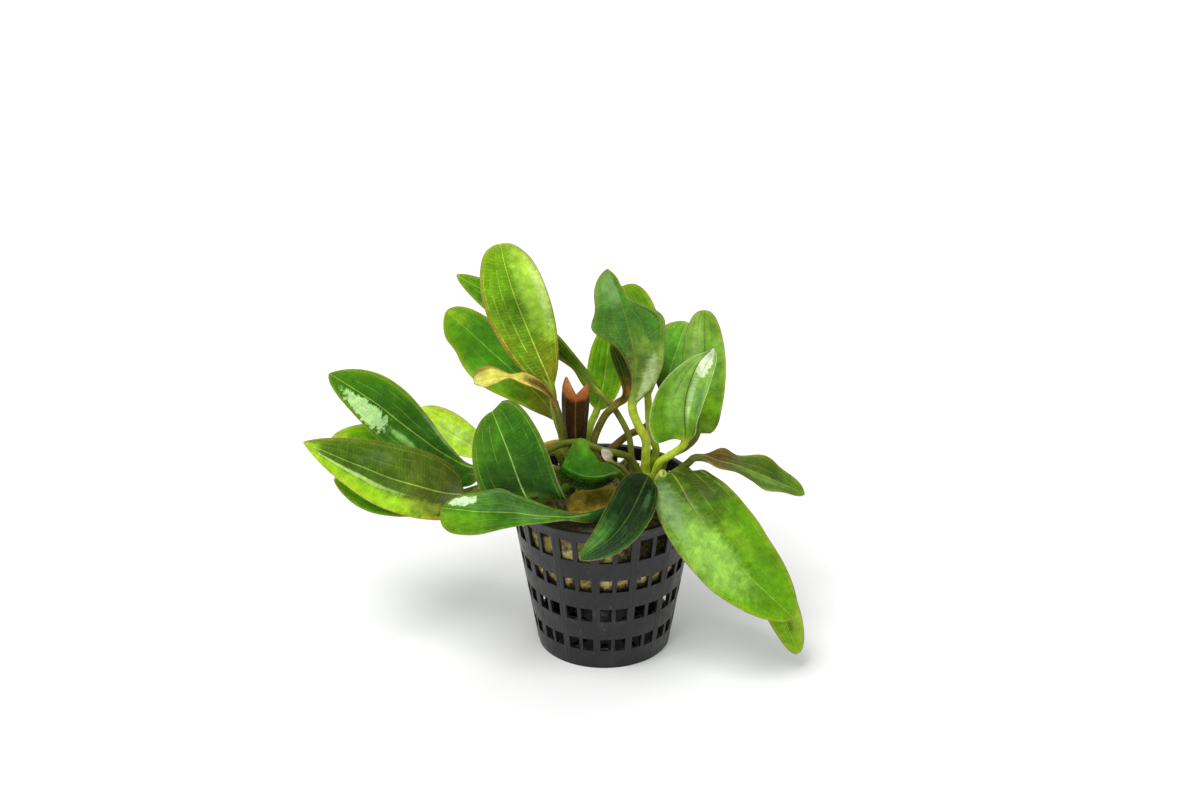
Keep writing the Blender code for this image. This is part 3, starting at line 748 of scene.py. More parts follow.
def fibre_tree():
    """Scatters bent fibres over a surface."""
    nodes, size, end = new_group(
        "wool_fibres", "GeometryNodeTree",
        {"Geometry": "NodeSocketGeometry", "Density": 800000.0, "Length": 0.004, "Hump": 0.0004,
         "Thickness": 0.00006, "Seed": 1, "Material": "NodeSocketMaterial"},
        {"Geometry": "NodeSocketGeometry"})
    half = size["Length"] / 2.0
    path = nodes.add("GeometryNodeCurveQuadraticBezier", {
        "Resolution": 5, "Start": nodes.join(half * -1.0, 0.0, 0.0),
        "Middle": nodes.join(0.0, half * 0.5, size["Hump"] * 2.0), "End": nodes.join(half, 0.0, 0.0)})
    ring = nodes.add("GeometryNodeCurvePrimitiveCircle", {"Resolution": 3, "Radius": size["Thickness"] / 2.0})
    fibre = nodes.add("GeometryNodeCurveToMesh", {"Curve": path, "Profile Curve": ring, "Fill Caps": True})
    spread = nodes.add("GeometryNodeDistributePointsOnFaces", {
        "Mesh": size["Geometry"], "Density": size["Density"], "Seed": size["Seed"]})
    outward = Wire(nodes, spread.socket.node.outputs["Normal"])
    stand = nodes.add("FunctionNodeAlignRotationToVector", {"Vector": outward}, axis="Z")
    luck = nodes.add("FunctionNodeRandomValue", {2: 0.0, 3: math.tau, "Seed": size["Seed"]},
                     output=1, data_type="FLOAT")
    spin = nodes.add("FunctionNodeAxisAngleToRotation", {"Axis": (0.0, 0.0, 1.0), "Angle": luck})
    turned = nodes.add("FunctionNodeRotateRotation", {"Rotation": stand, "Rotate By": spin},
                       rotation_space="LOCAL")
    grow = nodes.add("FunctionNodeRandomValue", {2: 0.5, 3: 1.2, "Seed": size["Seed"] + 7.0},
                     output=1, data_type="FLOAT")
    laid = nodes.add("GeometryNodeInstanceOnPoints", {
        "Points": spread, "Instance": fibre, "Rotation": turned, "Scale": grow})
    real = nodes.add("GeometryNodeRealizeInstances", {0: laid})
    painted = nodes.add("GeometryNodeSetMaterial", {"Geometry": real, "Material": size["Material"]})
    nodes.feed(end["Geometry"], painted)
    return nodes.tree


fibres = run_tree("wool_fibres", fibre_tree(), wool_mesh.copy(), {
    "Density": FIBRES_PER_SQUARE_MM / MM ** 2, "Length": FIBRE_LENGTH * MM, "Hump": FIBRE_HUMP * MM,
    "Thickness": FIBRE_THICKNESS * MM, "Seed": FIBRE_SEED, "Material": WOOL_FELT})
finish_piece(fibres, None)

# %% [markdown]
# Each leaf is one thin blade on one stalk. A leaf's shape follows a rule: a midrib that runs
# smoothly through a few points, a half width on each side that swells and tapers, a fold along
# the midrib, a roll of each half and a ripple of the margins. The table holds those few
# numbers for every leaf, and one function turns a row into a surface.

# %% Where stalks start, and one row of the table
CROWN_PLACES = {"right": (12.5, 2.5), "left": (-6.5, 6.0)}
ROOT_RINGS = {"outer": (5.0, 48.5), "inner": (2.1, 51.6)}
ROOT_DEPTH = 3.4
ROOT_INSET = 0.45
STALK_RADIUS = 1.1


def root_places(crown, ring, degrees):
    """Two points where a leaf stalk starts: inside the crown, and where it comes out."""
    x, y = CROWN_PLACES[crown]
    radius, height = ROOT_RINGS[ring]
    across, along = math.cos(math.radians(degrees)), math.sin(math.radians(degrees))
    inside = (x + ROOT_INSET * radius * across, y + ROOT_INSET * radius * along, height - ROOT_DEPTH)
    return [inside, (x + radius * across, y + radius * along, height)]


def leaf(name, kind, root, route, neck, wide, face, **shape):
    """One row: where the leaf starts, the points of its midrib, its widths and how it faces.

    neck is the number of route points on the stalk, and the blade starts at the last of them.
    wide is the blade's greatest half width on the left and right side, seen with the tip up.
    face holds the directions that the blade's upper side looks, at its base and at its tip.
    taper shapes the outline towards base and tip, fold is the V along the midrib in degrees,
    curl the roll of the left and right half in degrees, and wave the ripple of the margins
    as a height, a number of waves and a phase. bumps adds to the half width near a place. ears
    lets the left and right margin run ahead of the midrib at the tip, and lobes lets them hang
    back behind it at the base.
    """
    rooted = isinstance(root[0], str)
    row = dict(taper=((1.0, 0.65), (1.0, 0.65)), fold=(8, 8), curl=(10, 10), wave=(0.0, 2.0, 0.0),
               stalk=STALK_RADIUS, bumps=((), ()), ears=(0.0, 0.0), lobes=(0.0, 0.0))
    row.update(shape)
    row.update(name=name, kind=kind, route=(root_places(*root) if rooted else [root]) + list(route),
               neck=neck + rooted, wide=wide, face=face, rooted=rooted)
    return row


print("crowns:", ", ".join(CROWN_PLACES))

# %% [markdown]
# The table. Points and widths are in millimetres, in the frame of the pot. The second word of
# a row is the kind of leaf, which the finish further on turns into colours. The first half
# holds the leaves that stand up from the crowns, from left to right.

# %% Table of the standing leaves
LEAVES = [
    leaf("leaf_high_left", "lime", ("left", "inner", 190),
         [(-11, 8.5, 58), (-14, 10.5, 67), (-15.3, 11, 76.5), (-19.3, 12, 87), (-25.3, 16, 101.5),
          (-28.5, 20, 111), (-29.7, 23, 116)], 3,
         (9.8, 9.5), ((0.1, -1, 0.3), (0.15, -0.9, 0.45)), taper=((0.65, 0.45), (0.75, 0.45))),
    leaf("leaf_high_behind", "green", ("right", "outer", 135),
         [(8, 7, 55), (7, 8.5, 62), (3, 11, 69), (-1, 13.5, 72.5), (-11, 20, 80.5), (-22, 26, 88.5),
          (-33, 30, 96.5), (-43, 33, 101.5)], 4,
         (8.5, 4.4), ((0.5, -0.6, 0.6), (0.1, -0.9, 0.6)), taper=((0.8, 0.8), (0.8, 0.6)), fold=(55, 20),
         stalk=0.9),
    leaf("leaf_left_wavy", "green", ("left", "inner", 100),
         [(-9, 12, 58), (-13, 14, 63.5), (-21, 15.5, 73.5), (-33, 19, 84), (-45.5, 22, 95.3)], 2,
         (9.3, 8), ((-0.1, -1, 0.2), (-0.1, -1, 0.3)), taper=((1.0, 0.65), (0.9, 0.5)), wave=(0.8, 2.2, 0.1),
         bumps=(((0.82, -1.5), (0.91, 0.9)), ())),
    leaf("leaf_curled", "straw", ("left", "outer", -90),
         [(-9.5, 1, 56), (-12, 2, 64), (-13.5, 0.5, 74), (-17, -1, 81), (-25, -1, 85), (-31, -1, 85),
          (-37, 0, 83)], 3,
         (2.2, 4.5), ((0.2, -1, 0.5), (0, -1, 1)), taper=((1.0, 0.4), (1.0, 0.4)), fold=(50, 10),
         curl=(30, 60), bumps=(((0.64, -1.5), (0.88, 2.2)), ((0.64, -3.0), (0.88, 0.8)))),
    leaf("leaf_furled", "maroon", ("left", "inner", -80),
         [(-7, 3.2, 57), (-8, 2.4, 62), (-8.3, 1.9, 68), (-8.2, 1.4, 74), (-8, 1, 78.8)], 1,
         (8.6, 8.6), ((0, 1, 0.1), (0, 1, 0.3)), taper=((0.45, 0.1), (0.45, 0.1)), curl=(105, 105),
         ears=(0.5, 3.0)),
    leaf("leaf_center_tall", "green", ("right", "inner", 110),
         [(12, 3, 58), (12, 3, 63), (10, 4, 67), (8, 5, 73), (9, 7, 82), (8, 9, 91), (5.4, 13, 100),
          (1, 19, 110)], 4,
         (7.2, 9.5), ((0, -1, 0.3), (-0.2, -1, 0.3)), taper=((2.0, 0.65), (1.0, 1.1)), stalk=1.3,
         bumps=(((0.55, 1.9), (0.64, 3.0)), ((0.575, 2.1), (0.74, -2.9), (0.86, -3.2)))),
    leaf("leaf_center_back", "lime", ("right", "outer", 90),
         [(15, 7, 57), (14, 8, 61), (13, 11, 65), (12.6, 14, 72), (11, 20, 84), (8.6, 25, 92),
          (5.4, 29, 100)], 4,
         (7, 6.8), ((0.1, -1, 0.2), (0.1, -1, 0.4)), taper=((0.7, 0.35), (0.7, 0.35))),
    leaf("leaf_center_left", "lime", ("left", "inner", 30),
         [(-5, 9.5, 58), (-4, 13, 62.5), (-2, 17, 66), (0, 20, 74), (1, 24, 82), (2, 28, 89)], 3,
         (5.5, 5.5), ((0, -1, 0.4), (0, -1, 0.4)), taper=((0.5, 0.6), (0.5, 0.6))),
    leaf("leaf_center_brown", "olive", ("left", "outer", -25),
         [(-2, 5, 55), (-3, 6, 61), (0, 8, 68), (3, 9, 71), (6, 10, 75), (5, 12, 81), (2, 15, 88)], 4,
         (4, 4), ((0.5, -1, 0.4), (0.5, -1, 0.4)), fold=(50, 30)),
    leaf("leaf_right_back", "green", ("left", "outer", 35),
         [(0, 10, 54), (2, 11, 56), (7, 14, 59), (13, 17, 61), (17, 20, 69), (20, 24, 78), (24, 30, 88)], 5,
         (8, 8), ((0, -1, 0.3), (0, -1, 0.3)), wave=(1.2, 2.0, 0.2)),
    leaf("leaf_right_tall", "green", ("right", "outer", 45),
         [(18, 7, 55), (24, 9, 58), (27, 10, 62), (28, 13, 71), (29, 17, 82), (29, 23, 95)], 3,
         (6.5, 6.8), ((-0.1, -1, 0.2), (-0.1, -1, 0.4)), taper=((0.5, 0.4), (0.25, 0.4))),
    leaf("leaf_right_silver", "silver", ("right", "inner", 10),
         [(16, 1, 57), (20, -1, 61), (23.2, -2, 65.5), (22.9, -1, 74), (23.8, 0.4, 80.5), (26.6, 3.2, 87.2),
          (31, 6.4, 91)], 3,
         (10, 7.2), ((-0.2, -1, 0.1), (0, -1, 0.3)), taper=((0.7, 1.6), (0.7, 0.55)), curl=(10, 58),
         lobes=(8.0, 0.0)),
    leaf("leaf_right_low", "olive", ("right", "outer", 0),
         [(20, 1, 53), (24, 0, 57), (27, 0, 59), (36, 0, 57), (46, 0, 53), (58, 0, 47)], 3,
         (6, 6), ((0, -0.2, 1), (0, -0.3, 1)), wave=(1.2, 2.2, 0.0), bumps=(((0.22, 1.4),), ((0.42, 1.8),))),
]
print("standing leaves:", len(LEAVES))

# %% [markdown]
# The second half holds the leaves that lie low: they hang over the rim, sag to the left or fold
# over the wool. Three small dead pieces and the stub of a cut stalk end the table. They follow
# the same rule, so they are rows like the others.

# %% Table of the low leaves
LEAVES += [
    leaf("leaf_front_right", "green", ("right", "inner", -60),
         [(18.4, -3.4, 54.6), (21, -8, 55), (27.5, -17, 48), (39, -22, 35), (54, -28, 22)], 1,
         (13, 14), ((0.3, -0.7, 0.7), (0.4, -0.7, 0.6)), taper=((0.4, 0.55), (0.5, 0.6))),
    leaf("leaf_front_right_under", "lime", ("right", "outer", -45),
         [(20, -3, 51.5), (27, -5, 52), (36, -9, 45), (45, -14, 30), (51.5, -18, 17), (56, -22, 6.5)], 2,
         (6, 6), ((0.3, -0.7, 0.7), (0.4, -0.8, 0.3)), taper=((0.8, 0.5), (0.8, 0.5))),
    leaf("leaf_front_centre", "dark", ("right", "outer", -95),
         [(12.4, -4.6, 54), (11.8, -9, 56), (10, -17, 56), (6.5, -27, 54), (1, -33, 50), (-7, -36.4, 46)], 1,
         (6.2, 7), ((0.25, -0.6, 0.9), (0, -0.7, 0.7)), taper=((0.8, 0.7), (0.6, 0.7))),
    leaf("leaf_front_left_long", "green", ("right", "outer", -135),
         [(7, -8, 50), (3, -14, 50.1), (-4, -22, 51.4), (-15, -26, 53.8), (-25, -26, 55), (-35, -24, 54.4),
          (-46, -21, 54)], 3,
         (9.4, 5.8), ((0, -0.3, 1), (0, -0.6, 0.8)), taper=((2.0, 0.5), (1.3, 0.65)), stalk=1.6,
         bumps=((), ((0.63, 1.6),))),
    leaf("leaf_front_left_round", "dark", ("left", "outer", -130),
         [(-11, -5, 52), (-19.8, -12.6, 50.6), (-22, -14.5, 54), (-24.2, -14.3, 59), (-27, -12.6, 67),
          (-31.7, -8, 78)], 3,
         (11.5, 11), ((0, -1, 0.2), (0.1, -1, 0.4)), taper=((0.3, 0.5), (0.1, 0.2)), ears=(0.0, 1.8),
         lobes=(0.0, 11.0)),
    leaf("leaf_left_big", "olive", ("right", "inner", 190),
         [(7, 2, 58), (-1, -1, 62), (-8, -2, 65), (-16, -5, 64), (-28, -8, 56), (-40, -10, 52),
          (-58, -9, 56), (-70, -7, 60), (-86, -4, 66)], 6,
         (10.3, 10.3), ((0, -0.7, 0.7), (0, -0.7, 0.7)), taper=((0.4, 0.85), (0.4, 0.8)), stalk=1.0),
    leaf("leaf_left_top", "green", ("left", "outer", 150),
         [(-14, 7, 57), (-21, 4, 56), (-36, 2, 54), (-46, 2, 59), (-56, 4, 66), (-67, 7, 74),
          (-79, 10, 81)], 3,
         (9.2, 8.2), ((0, -0.7, 0.7), (0, -0.7, 0.7)), taper=((0.35, 0.55), (1.6, 0.85))),
    leaf("leaf_left_between", "lime", ("left", "outer", 118),
         [(-14, 11, 56), (-24, 8, 53), (-39, 8, 51), (-51, 8, 54), (-65, 8, 58), (-79, 8, 61)], 3,
         (7, 7), ((0, -0.5, 0.8), (0, -0.5, 0.8))),
    leaf("leaf_left_low", "green", ("left", "outer", -170),
         [(-14, 4, 53), (-25, 2, 52), (-39, 0, 48), (-50, -1, 45), (-65, -1, 46), (-78, 0, 52)], 3,
         (6, 5), ((0, -0.5, 0.8), (0, -0.5, 0.8))),
    leaf("leaf_left_inner", "lime", ("left", "outer", 86),
         [(-12, 14, 56), (-20, 13, 55), (-30, 13, 53), (-42, 14, 58), (-54, 17, 66)], 3,
         (6, 5.5), ((0, -0.7, 0.7), (0, -0.7, 0.7))),
    leaf("leaf_folded", "dark", ("right", "outer", -175),
         [(5, -5, 55), (3.3, -8, 58.5), (-0.6, -12, 59.3), (-6.2, -13, 60), (-12, -12.5, 63)], 2,
         (5.2, 10.4), ((0, -1, 0.3), (0, -1, 0.3)), taper=((0.5, 0.3), (0.75, 0.14)), fold=(-35, -35)),
    leaf("leaf_dried", "straw", (8.6, -2.6, 52.5),
         [(5.2, -2.8, 57), (2.2, -3.4, 59.4), (-0.8, -3.8, 63.8)], 2,
         (2.2, 2.2), ((0, -1, 1), (0, -1, 1)), stalk=0.6, curl=(60, 60)),
    leaf("leaf_dead_flat", "ochre", (-11.6, -7, 46.8),
         [(-10.8, -7, 47.1), (-5, -7.6, 47.6), (0.5, -7, 48.2), (5, -5, 49.2)], 1,
         (5, 5.4), ((0, -0.5, 0.85), (0, -0.5, 0.85)), taper=((0.25, 0.2), (0.2, 0.25)), stalk=0.6),
    leaf("leaf_dead_scrap", "maroon", (-13.4, -8, 46.4),
         [(-14.2, -7.5, 46.6), (-16.6, -6.5, 47), (-19, -5.5, 47.6)], 1,
         (2, 2.4), ((0, -0.2, 1), (0, -0.4, 1)), stalk=0.7, wave=(0.5, 2.0, 0.0)),
    leaf("stalk_stub", "lime", (14.6, -3.4, 51),
         [(15.7, -4.4, 54.2), (16.8, -6.4, 57.2), (16.9, -7.2, 58.2)], 2,
         (0.3, 0.3), ((1, 0, 0), (1, 0, 0)), stalk=1.25),
]
print("rows in the table:", len(LEAVES))

# %% [markdown]
# A curve through the points gives the midrib. A Catmull-Rom curve passes through every point
# that it is given, which makes the table easy to read: what is written there is on the leaf.

# %% Midrib and outline
ROUTE_STEPS = 24
BUMP_REACH = 0.09
EAR_START = 0.6
LOBE_END = 0.6


def unit(vector):
    """Vectors of length one."""
    vector = np.asarray(vector, float)
    return vector / np.linalg.norm(vector, axis=-1, keepdims=True)


def smooth_route(points):
    """A curve through the points: its places, the distance along it, and the index of each point."""
    p = np.asarray(points, float)
    p = np.vstack([2 * p[0] - p[1], p, 2 * p[-1] - p[-2]])
    pieces = []
    for a, b, c, d in zip(p, p[1:], p[2:], p[3:]):
        u = np.linspace(0, 1, ROUTE_STEPS, endpoint=False)[:, None]
        curve = 2 * b + (c - a) * u + (2 * a - 5 * b + 4 * c - d) * u ** 2 + (3 * b - a - 3 * c + d) * u ** 3
        pieces.append(0.5 * curve)
    line = np.vstack(pieces + [p[-2][None]])
    run = np.concatenate([[0], np.cumsum(np.linalg.norm(np.diff(line, axis=0), axis=1))])
    return line, run, np.arange(len(points)) * ROUTE_STEPS


def along(distances, line, run):
    """Places on the curve at given distances along it."""
    return np.stack([np.interp(distances, run, line[:, axis]) for axis in range(3)], axis=1)


def half_width(t, row, side):
    """Half width of a blade on one side, at shares t of its length."""
    base_power, tip_power = row["taper"][side]
    peak = base_power / (base_power + tip_power)
    outline = t ** base_power * (1 - t) ** tip_power / (peak ** base_power * (1 - peak) ** tip_power)
    width = row["wide"][side] * outline
    for place, size in row["bumps"][side]:
        width = width + size * np.exp(-((t - place) / BUMP_REACH) ** 2) * np.minimum(1, 4 * (1 - t))
    return width


print("leaf_high_left is", round(smooth_route(LEAVES[0]["route"])[1][-1], 1), "mm long with its stalk")

# %% [markdown]
# A sword plant's leaf has a midrib and three pairs of main veins that arch from base to tip,
# with fine cross veins between them like the rungs of a ladder. On the upper side the veins are
# sunk and the fields between them swell a little, and below the veins stand out. So the surface
# has points exactly on each vein and on both sides of it, and closer ones along the blade.

# %% Relief of a blade
VEIN_SHARES = (0.0, 0.36, 0.64, 0.87)
VEIN_DEPTHS = (0.13, 0.05, 0.04, 0.025)
VEIN_WIDTH = 0.26
SIDE_SHARES = (0.0, 0.02, 0.05, 0.1, 0.16, 0.22, 0.28, 0.32, 0.345, 0.36, 0.375, 0.4, 0.45, 0.5, 0.56,
               0.6, 0.625, 0.64, 0.655, 0.68, 0.73, 0.79, 0.84, 0.87, 0.9, 0.95, 0.985, 1.0)
BLADE_STEP = 0.36
STALK_STEP = 0.8
TIP_CROWDING = 1.45
BLADE_THICKNESS = 0.42
RUNG_SPACING = 0.75
RUNG_SLANT = 0.3
RUNG_DEPTH = 0.025
FIELD_SWELL = 0.07
UNEVENNESS = 0.18


def relief(m, width, distance, reach):
    """How far a blade's upper side is sunk at shares m of its half width, and its fields swell."""
    sunk = np.zeros_like(width)
    for share, depth in zip(VEIN_SHARES, VEIN_DEPTHS):
        sunk = sunk + depth * np.exp(-(((m - share) * width) / VEIN_WIDTH) ** 2)
    field = np.interp(m, VEIN_SHARES + (1.0,), np.arange(5.0))
    swell = FIELD_SWELL * np.sin(np.pi * field) ** 2
    rung = RUNG_DEPTH * np.cos(2 * np.pi * (distance - RUNG_SLANT * m * width) / RUNG_SPACING)
    return sunk * reach, (swell + rung * np.sin(np.pi * field) ** 2) * reach


def unevenness(distance, u, seed):
    """The slow rise and fall of a whole blade, different for each leaf."""
    first = np.sin(0.42 * distance + 1.9 * u + seed) * np.cos(1.7 * u + 2.3 * seed)
    second = np.sin(0.7 * distance - 2.6 * u + 3.1 * seed)
    return UNEVENNESS * (first + 0.3 * second)


print("stations across one blade:", 2 * len(SIDE_SHARES) - 1)

# %% [markdown]
# A leaf is built from stations along its midrib. They lie closer together towards the tip,
# where the outline turns fastest. Each station needs its place and three directions: along the
# midrib, across the blade, and up from its upper side.

# %% Stations along a leaf
LEAST_BLADE_STATIONS = 24
LEAST_STALK_STATIONS = 4
TANGENT_REACH = 0.8


def leaf_stations(row):
    """Distances from the root, shares of the blade, places, and tangents, acrosses and normals."""
    line, run, marks = smooth_route(row["route"])
    neck, length = run[marks[row["neck"]]], run[-1]
    blade_count = max(LEAST_BLADE_STATIONS, math.ceil((length - neck) / BLADE_STEP))
    stalk_count = max(LEAST_STALK_STATIONS, round(neck / STALK_STEP))
    stalk_at = np.linspace(0, neck, stalk_count, endpoint=False)
    blade_share = 1 - (1 - np.linspace(0, 1, blade_count + 1)) ** TIP_CROWDING
    at = np.concatenate([stalk_at, neck + (length - neck) * blade_share[:-1]])
    tangent = unit(along(at + TANGENT_REACH, line, run) - along(at - TANGENT_REACH, line, run))
    t = np.clip((at - neck) / (length - neck), 0, 1)
    base_face, tip_face = unit(row["face"][0]), unit(row["face"][1])
    facing = base_face + (tip_face - base_face) * t[:, None]
    across = unit(np.cross(tangent, facing))
    return neck, line[-1], at, t, along(at, line, run), tangent, across, np.cross(across, tangent)


print("stations of leaf_high_left:", len(leaf_stations(LEAVES[0])[2]))

# %% [markdown]
# Now the surface itself. Each station is one closed ring: over the upper side from margin to
# margin and back along the underside. The stalk is a round tube, and over the first fifth of
# the blade it opens into the thin sheet. The mesh carries two attributes that the finish reads:
# the place as shares, and the same place in millimetres.

# %% Leaf surface
OPENING = 0.2
FULL_RELIEF_WIDTH = 4.0
FLARE = 0.4
FLARE_REACH = 4.0


def leaf_rings(row, seed):
    """Rings around a leaf, its two end points, and the two attributes of every ring point."""
    neck, tip, at, t, places, tangent, across, normal = leaf_stations(row)
    across, normal = across[:, None], normal[:, None]
    m_side = np.array(SIDE_SHARES)
    u = np.concatenate([-m_side[:0:-1], m_side])[None]
    m, sign, side = np.abs(u), np.sign(u), (u > 0).astype(int)
    t = t[:, None]
    open_up = np.clip(t / OPENING, 0, 1)
    open_up = open_up * open_up * (3 - 2 * open_up)
    shrink = np.sqrt(1 - t)
    flare = 1 + FLARE * np.exp(-(at[:, None] / FLARE_REACH) ** 2) if row["rooted"] else 1.0
    stalk = row["stalk"] * (1 - 0.75 * t) * flare
    fold = np.radians(row["fold"][0] + (row["fold"][1] - row["fold"][0]) * t) * open_up
    blade_width = np.where(side, half_width(t, row, 1), half_width(t, row, 0))
    width = np.hypot(stalk * shrink, blade_width)
    curl = np.maximum(np.radians(np.array(row["curl"])[side]) * open_up, 1e-4)
    angle = fold + curl * m
    out = width * (np.sin(angle) - np.sin(fold)) / curl
    rise = width * (np.cos(fold) - np.cos(angle)) / curl
    height, waves, phase = row["wave"]
    ripple = np.sin(2 * np.pi * (waves * t + phase + 0.37 * side))
    rise = rise + height * m ** 2 * open_up * np.minimum(1, 3 * (1 - t)) * ripple
    distance = (at - neck)[:, None]
    reach = open_up * np.clip(width / FULL_RELIEF_WIDTH, 0, 1)
    rise = rise + unevenness(distance, u, seed) * reach * np.minimum(1, 4 * (1 - t))

    def in_space(offset_across, offset_up):
        return across * offset_across[..., None] + normal * offset_up[..., None]

    middle = places[:, None] + in_space(sign * out, rise)
    late = np.clip((t - EAR_START) / (1 - EAR_START), 0, 1) ** 2
    ahead = np.array(row["ears"])[side] * m ** 2 * late
    early = np.clip(1 - t / LOBE_END, 0, 1)
    behind = np.array(row["lobes"])[side] * (m * width / np.array(row["wide"])[side]) ** 2 * early
    middle = middle + tangent[:, None] * (ahead - behind)[..., None]
    up = in_space(-sign * np.sin(angle), np.cos(angle))
    round_part = stalk * np.sqrt(1 - m * m) * (1 - open_up)
    blade_part = BLADE_THICKNESS / 2 * (1 - m ** 3) * shrink * open_up
    sunk, swell = relief(m, width, distance, reach)
    thin = 1 - m ** 6
    upper = middle + up * (round_part + blade_part + (swell - sunk) * thin)[..., None]
    lower = middle - up * (round_part + blade_part + (1.2 * sunk - swell) * thin)[..., None]
    rings = np.concatenate([upper, lower[:, -2:0:-1]], axis=1)

    def around(values):
        upper_side = values + np.zeros_like(width)
        return np.concatenate([upper_side, upper_side[:, -2:0:-1]], axis=1)

    edge = np.where(m[0] == 1, 0.5, 0.0)
    under = np.concatenate([edge, np.ones(m.size - 2)]) + np.zeros((len(at), 1))
    share_rings = np.stack([around(u), around(t), under], axis=-1)
    mm_rings = np.stack([around(u * width), around(distance), around(width)], axis=-1)
    return rings, rings[0].mean(axis=0), tip, share_rings, mm_rings


print("points in one ring:", 2 * (2 * len(SIDE_SHARES) - 1) - 2)

# %% [markdown]
# The rings of a leaf are joined to a closed skin, as those of the plug were. An attribute is a
# value that a mesh keeps for each of its points. The two end points get the mean of the ring
# next to them.

# %% A leaf as an object


def add_place(mesh, name, rings):
    """Stores a vector for every point of a closed skin, and the end rings' means for its ends."""
    values = np.concatenate([rings.reshape(-1, 3), [rings[0].mean(axis=0)], [rings[-1].mean(axis=0)]])
    store = mesh.attributes.new(name, "FLOAT_VECTOR", "POINT")
    store.data.foreach_set("vector", values.astype(np.float32).ravel())


def leaf_piece(row, seed):
    """One leaf as an object, with its attributes."""
    rings, root_end, tip_end, share_rings, mm_rings = leaf_rings(row, seed)
    mesh = closed_skin(row["name"] + "_skin", rings, root_end, tip_end)
    add_place(mesh, "leaf_place", share_rings)
    add_place(mesh, "leaf_mm", mm_rings)
    return add_object(row["name"] + "_skin", mesh)


print("leaf surfaces have about a ring every", BLADE_STEP, "mm along the blade")

# %% [markdown]
# Leaf finish, first part: the pattern of the veins. The group reads the two attributes. A main
# vein is a line at a fixed share of the half width, so it arches with the outline and meets the
# others at base and tip. Its width is in millimetres, which keeps it even, and it fades in and
# out. The rungs are a wave along the blade, slanted, shaken by noise and broken up in places.

# %% Vein pattern


def vein_group():
    """Masks of the midrib, the main veins and the rungs, and the distance to the margin in mm."""
    nodes, inputs, end = new_group(
        "leaf_veins", "ShaderNodeTree",
        {"Place": (0.0, 0.0, 0.0), "Millimetres": (0.0, 0.0, 0.0), "Vein Width": 0.28, "Rung Spacing": 0.95},
        {"Midrib": "NodeSocketFloat", "Veins": "NodeSocketFloat", "Rungs": "NodeSocketFloat",
         "Ladder": "NodeSocketFloat", "Rim": "NodeSocketFloat"})
    across, share = nodes.split(inputs["Place"])[:2]
    sideways, forward, width = nodes.split(inputs["Millimetres"])
    m = across.size()
    thinning = 1.15 - share * 0.75

    def line(distance, reach):
        return nodes.ramp(distance.size(), reach, reach * 0.2)

    midrib = line(sideways, inputs["Vein Width"] * 1.25 * thinning)
    veins = None
    for place in VEIN_SHARES[1:]:
        one = line((m - place) * width, inputs["Vein Width"] * thinning * 0.9)
        veins = one if veins is None else veins.upper(one)
    fading = nodes.noise(nodes.join(across * 4.0, forward * 0.12, 2.0), 1.0, detail=1.0)
    shaken = nodes.noise(nodes.join(sideways, forward, 0.0), 0.55, detail=2.0)
    slanted = forward - sideways.size() * RUNG_SLANT + shaken * 1.6
    phase = nodes.math("FRACT", slanted / inputs["Rung Spacing"])
    ladder = nodes.ramp((phase - 0.5).size(), 0.28, 0.48)
    broken = nodes.noise(nodes.join(sideways, forward, 4.0), 0.5, detail=2.0)
    nodes.feed(end["Midrib"], midrib)
    nodes.feed(end["Veins"], veins * nodes.ramp(fading, 0.35, 0.6))
    nodes.feed(end["Rungs"], ladder * nodes.ramp(broken, 0.38, 0.55))
    nodes.feed(end["Ladder"], ladder)
    nodes.feed(end["Rim"], (1.0 - m) * width)
    return nodes.tree


VEINS = vein_group()
masks = [item.name for item in VEINS.interface.items_tree if item.in_out == "OUTPUT"]
print("masks of the veins:", ", ".join(masks))

# %% [markdown]
# Leaf finish, second part: patches. A painted silvery reflection, a brown margin or a half
# darkened by painted shade all come from one group. It measures how far a point is from the
# patch's centre, as shares of its two reaches, and shakes that distance with noise, so that the
# edge is ragged.

# %% Patches


def patch_group():
    """A ragged patch around a place of the blade."""
    nodes, inputs, end = new_group(
        "leaf_patch", "ShaderNodeTree",
        {"Place": (0.0, 0.0, 0.0), "Millimetres": (0.0, 0.0, 0.0), "Ladder": 0.0, "Centre Across": 0.0,
         "Centre Share": 0.5, "Reach Across": 0.5, "Reach Share": 0.3, "Softness": 0.6,
         "Raggedness": 1.0}, {"Mask": "NodeSocketFloat"})
    across, share = nodes.split(inputs["Place"])[:2]
    sideways, forward = nodes.split(inputs["Millimetres"])[:2]
    x = (across - inputs["Centre Across"]) / inputs["Reach Across"]
    y = (share - inputs["Centre Share"]) / inputs["Reach Share"]
    ragged = nodes.noise(nodes.join(sideways, forward * 1.6, 8.0), 0.4, detail=4.0, roughness=0.7)
    far = nodes.math("SQRT", x * x + y * y) + (ragged - 0.5) * inputs["Raggedness"]
    nodes.feed(end["Mask"], nodes.ramp(far, 1.0, 1.0 - inputs["Softness"]) * (1.0 - inputs["Ladder"] * 0.15))
    return nodes.tree


PATCH = patch_group()
print("group for patches:", PATCH.name)

# %% [markdown]
# Leaf finish, third part: the colours. Every kind of leaf has a row of values. The blade goes
# from one green at its base to another at its tip, clouded, with pale veins, a thin reddish
# margin, brown spots on old leaves and an underside of its own.

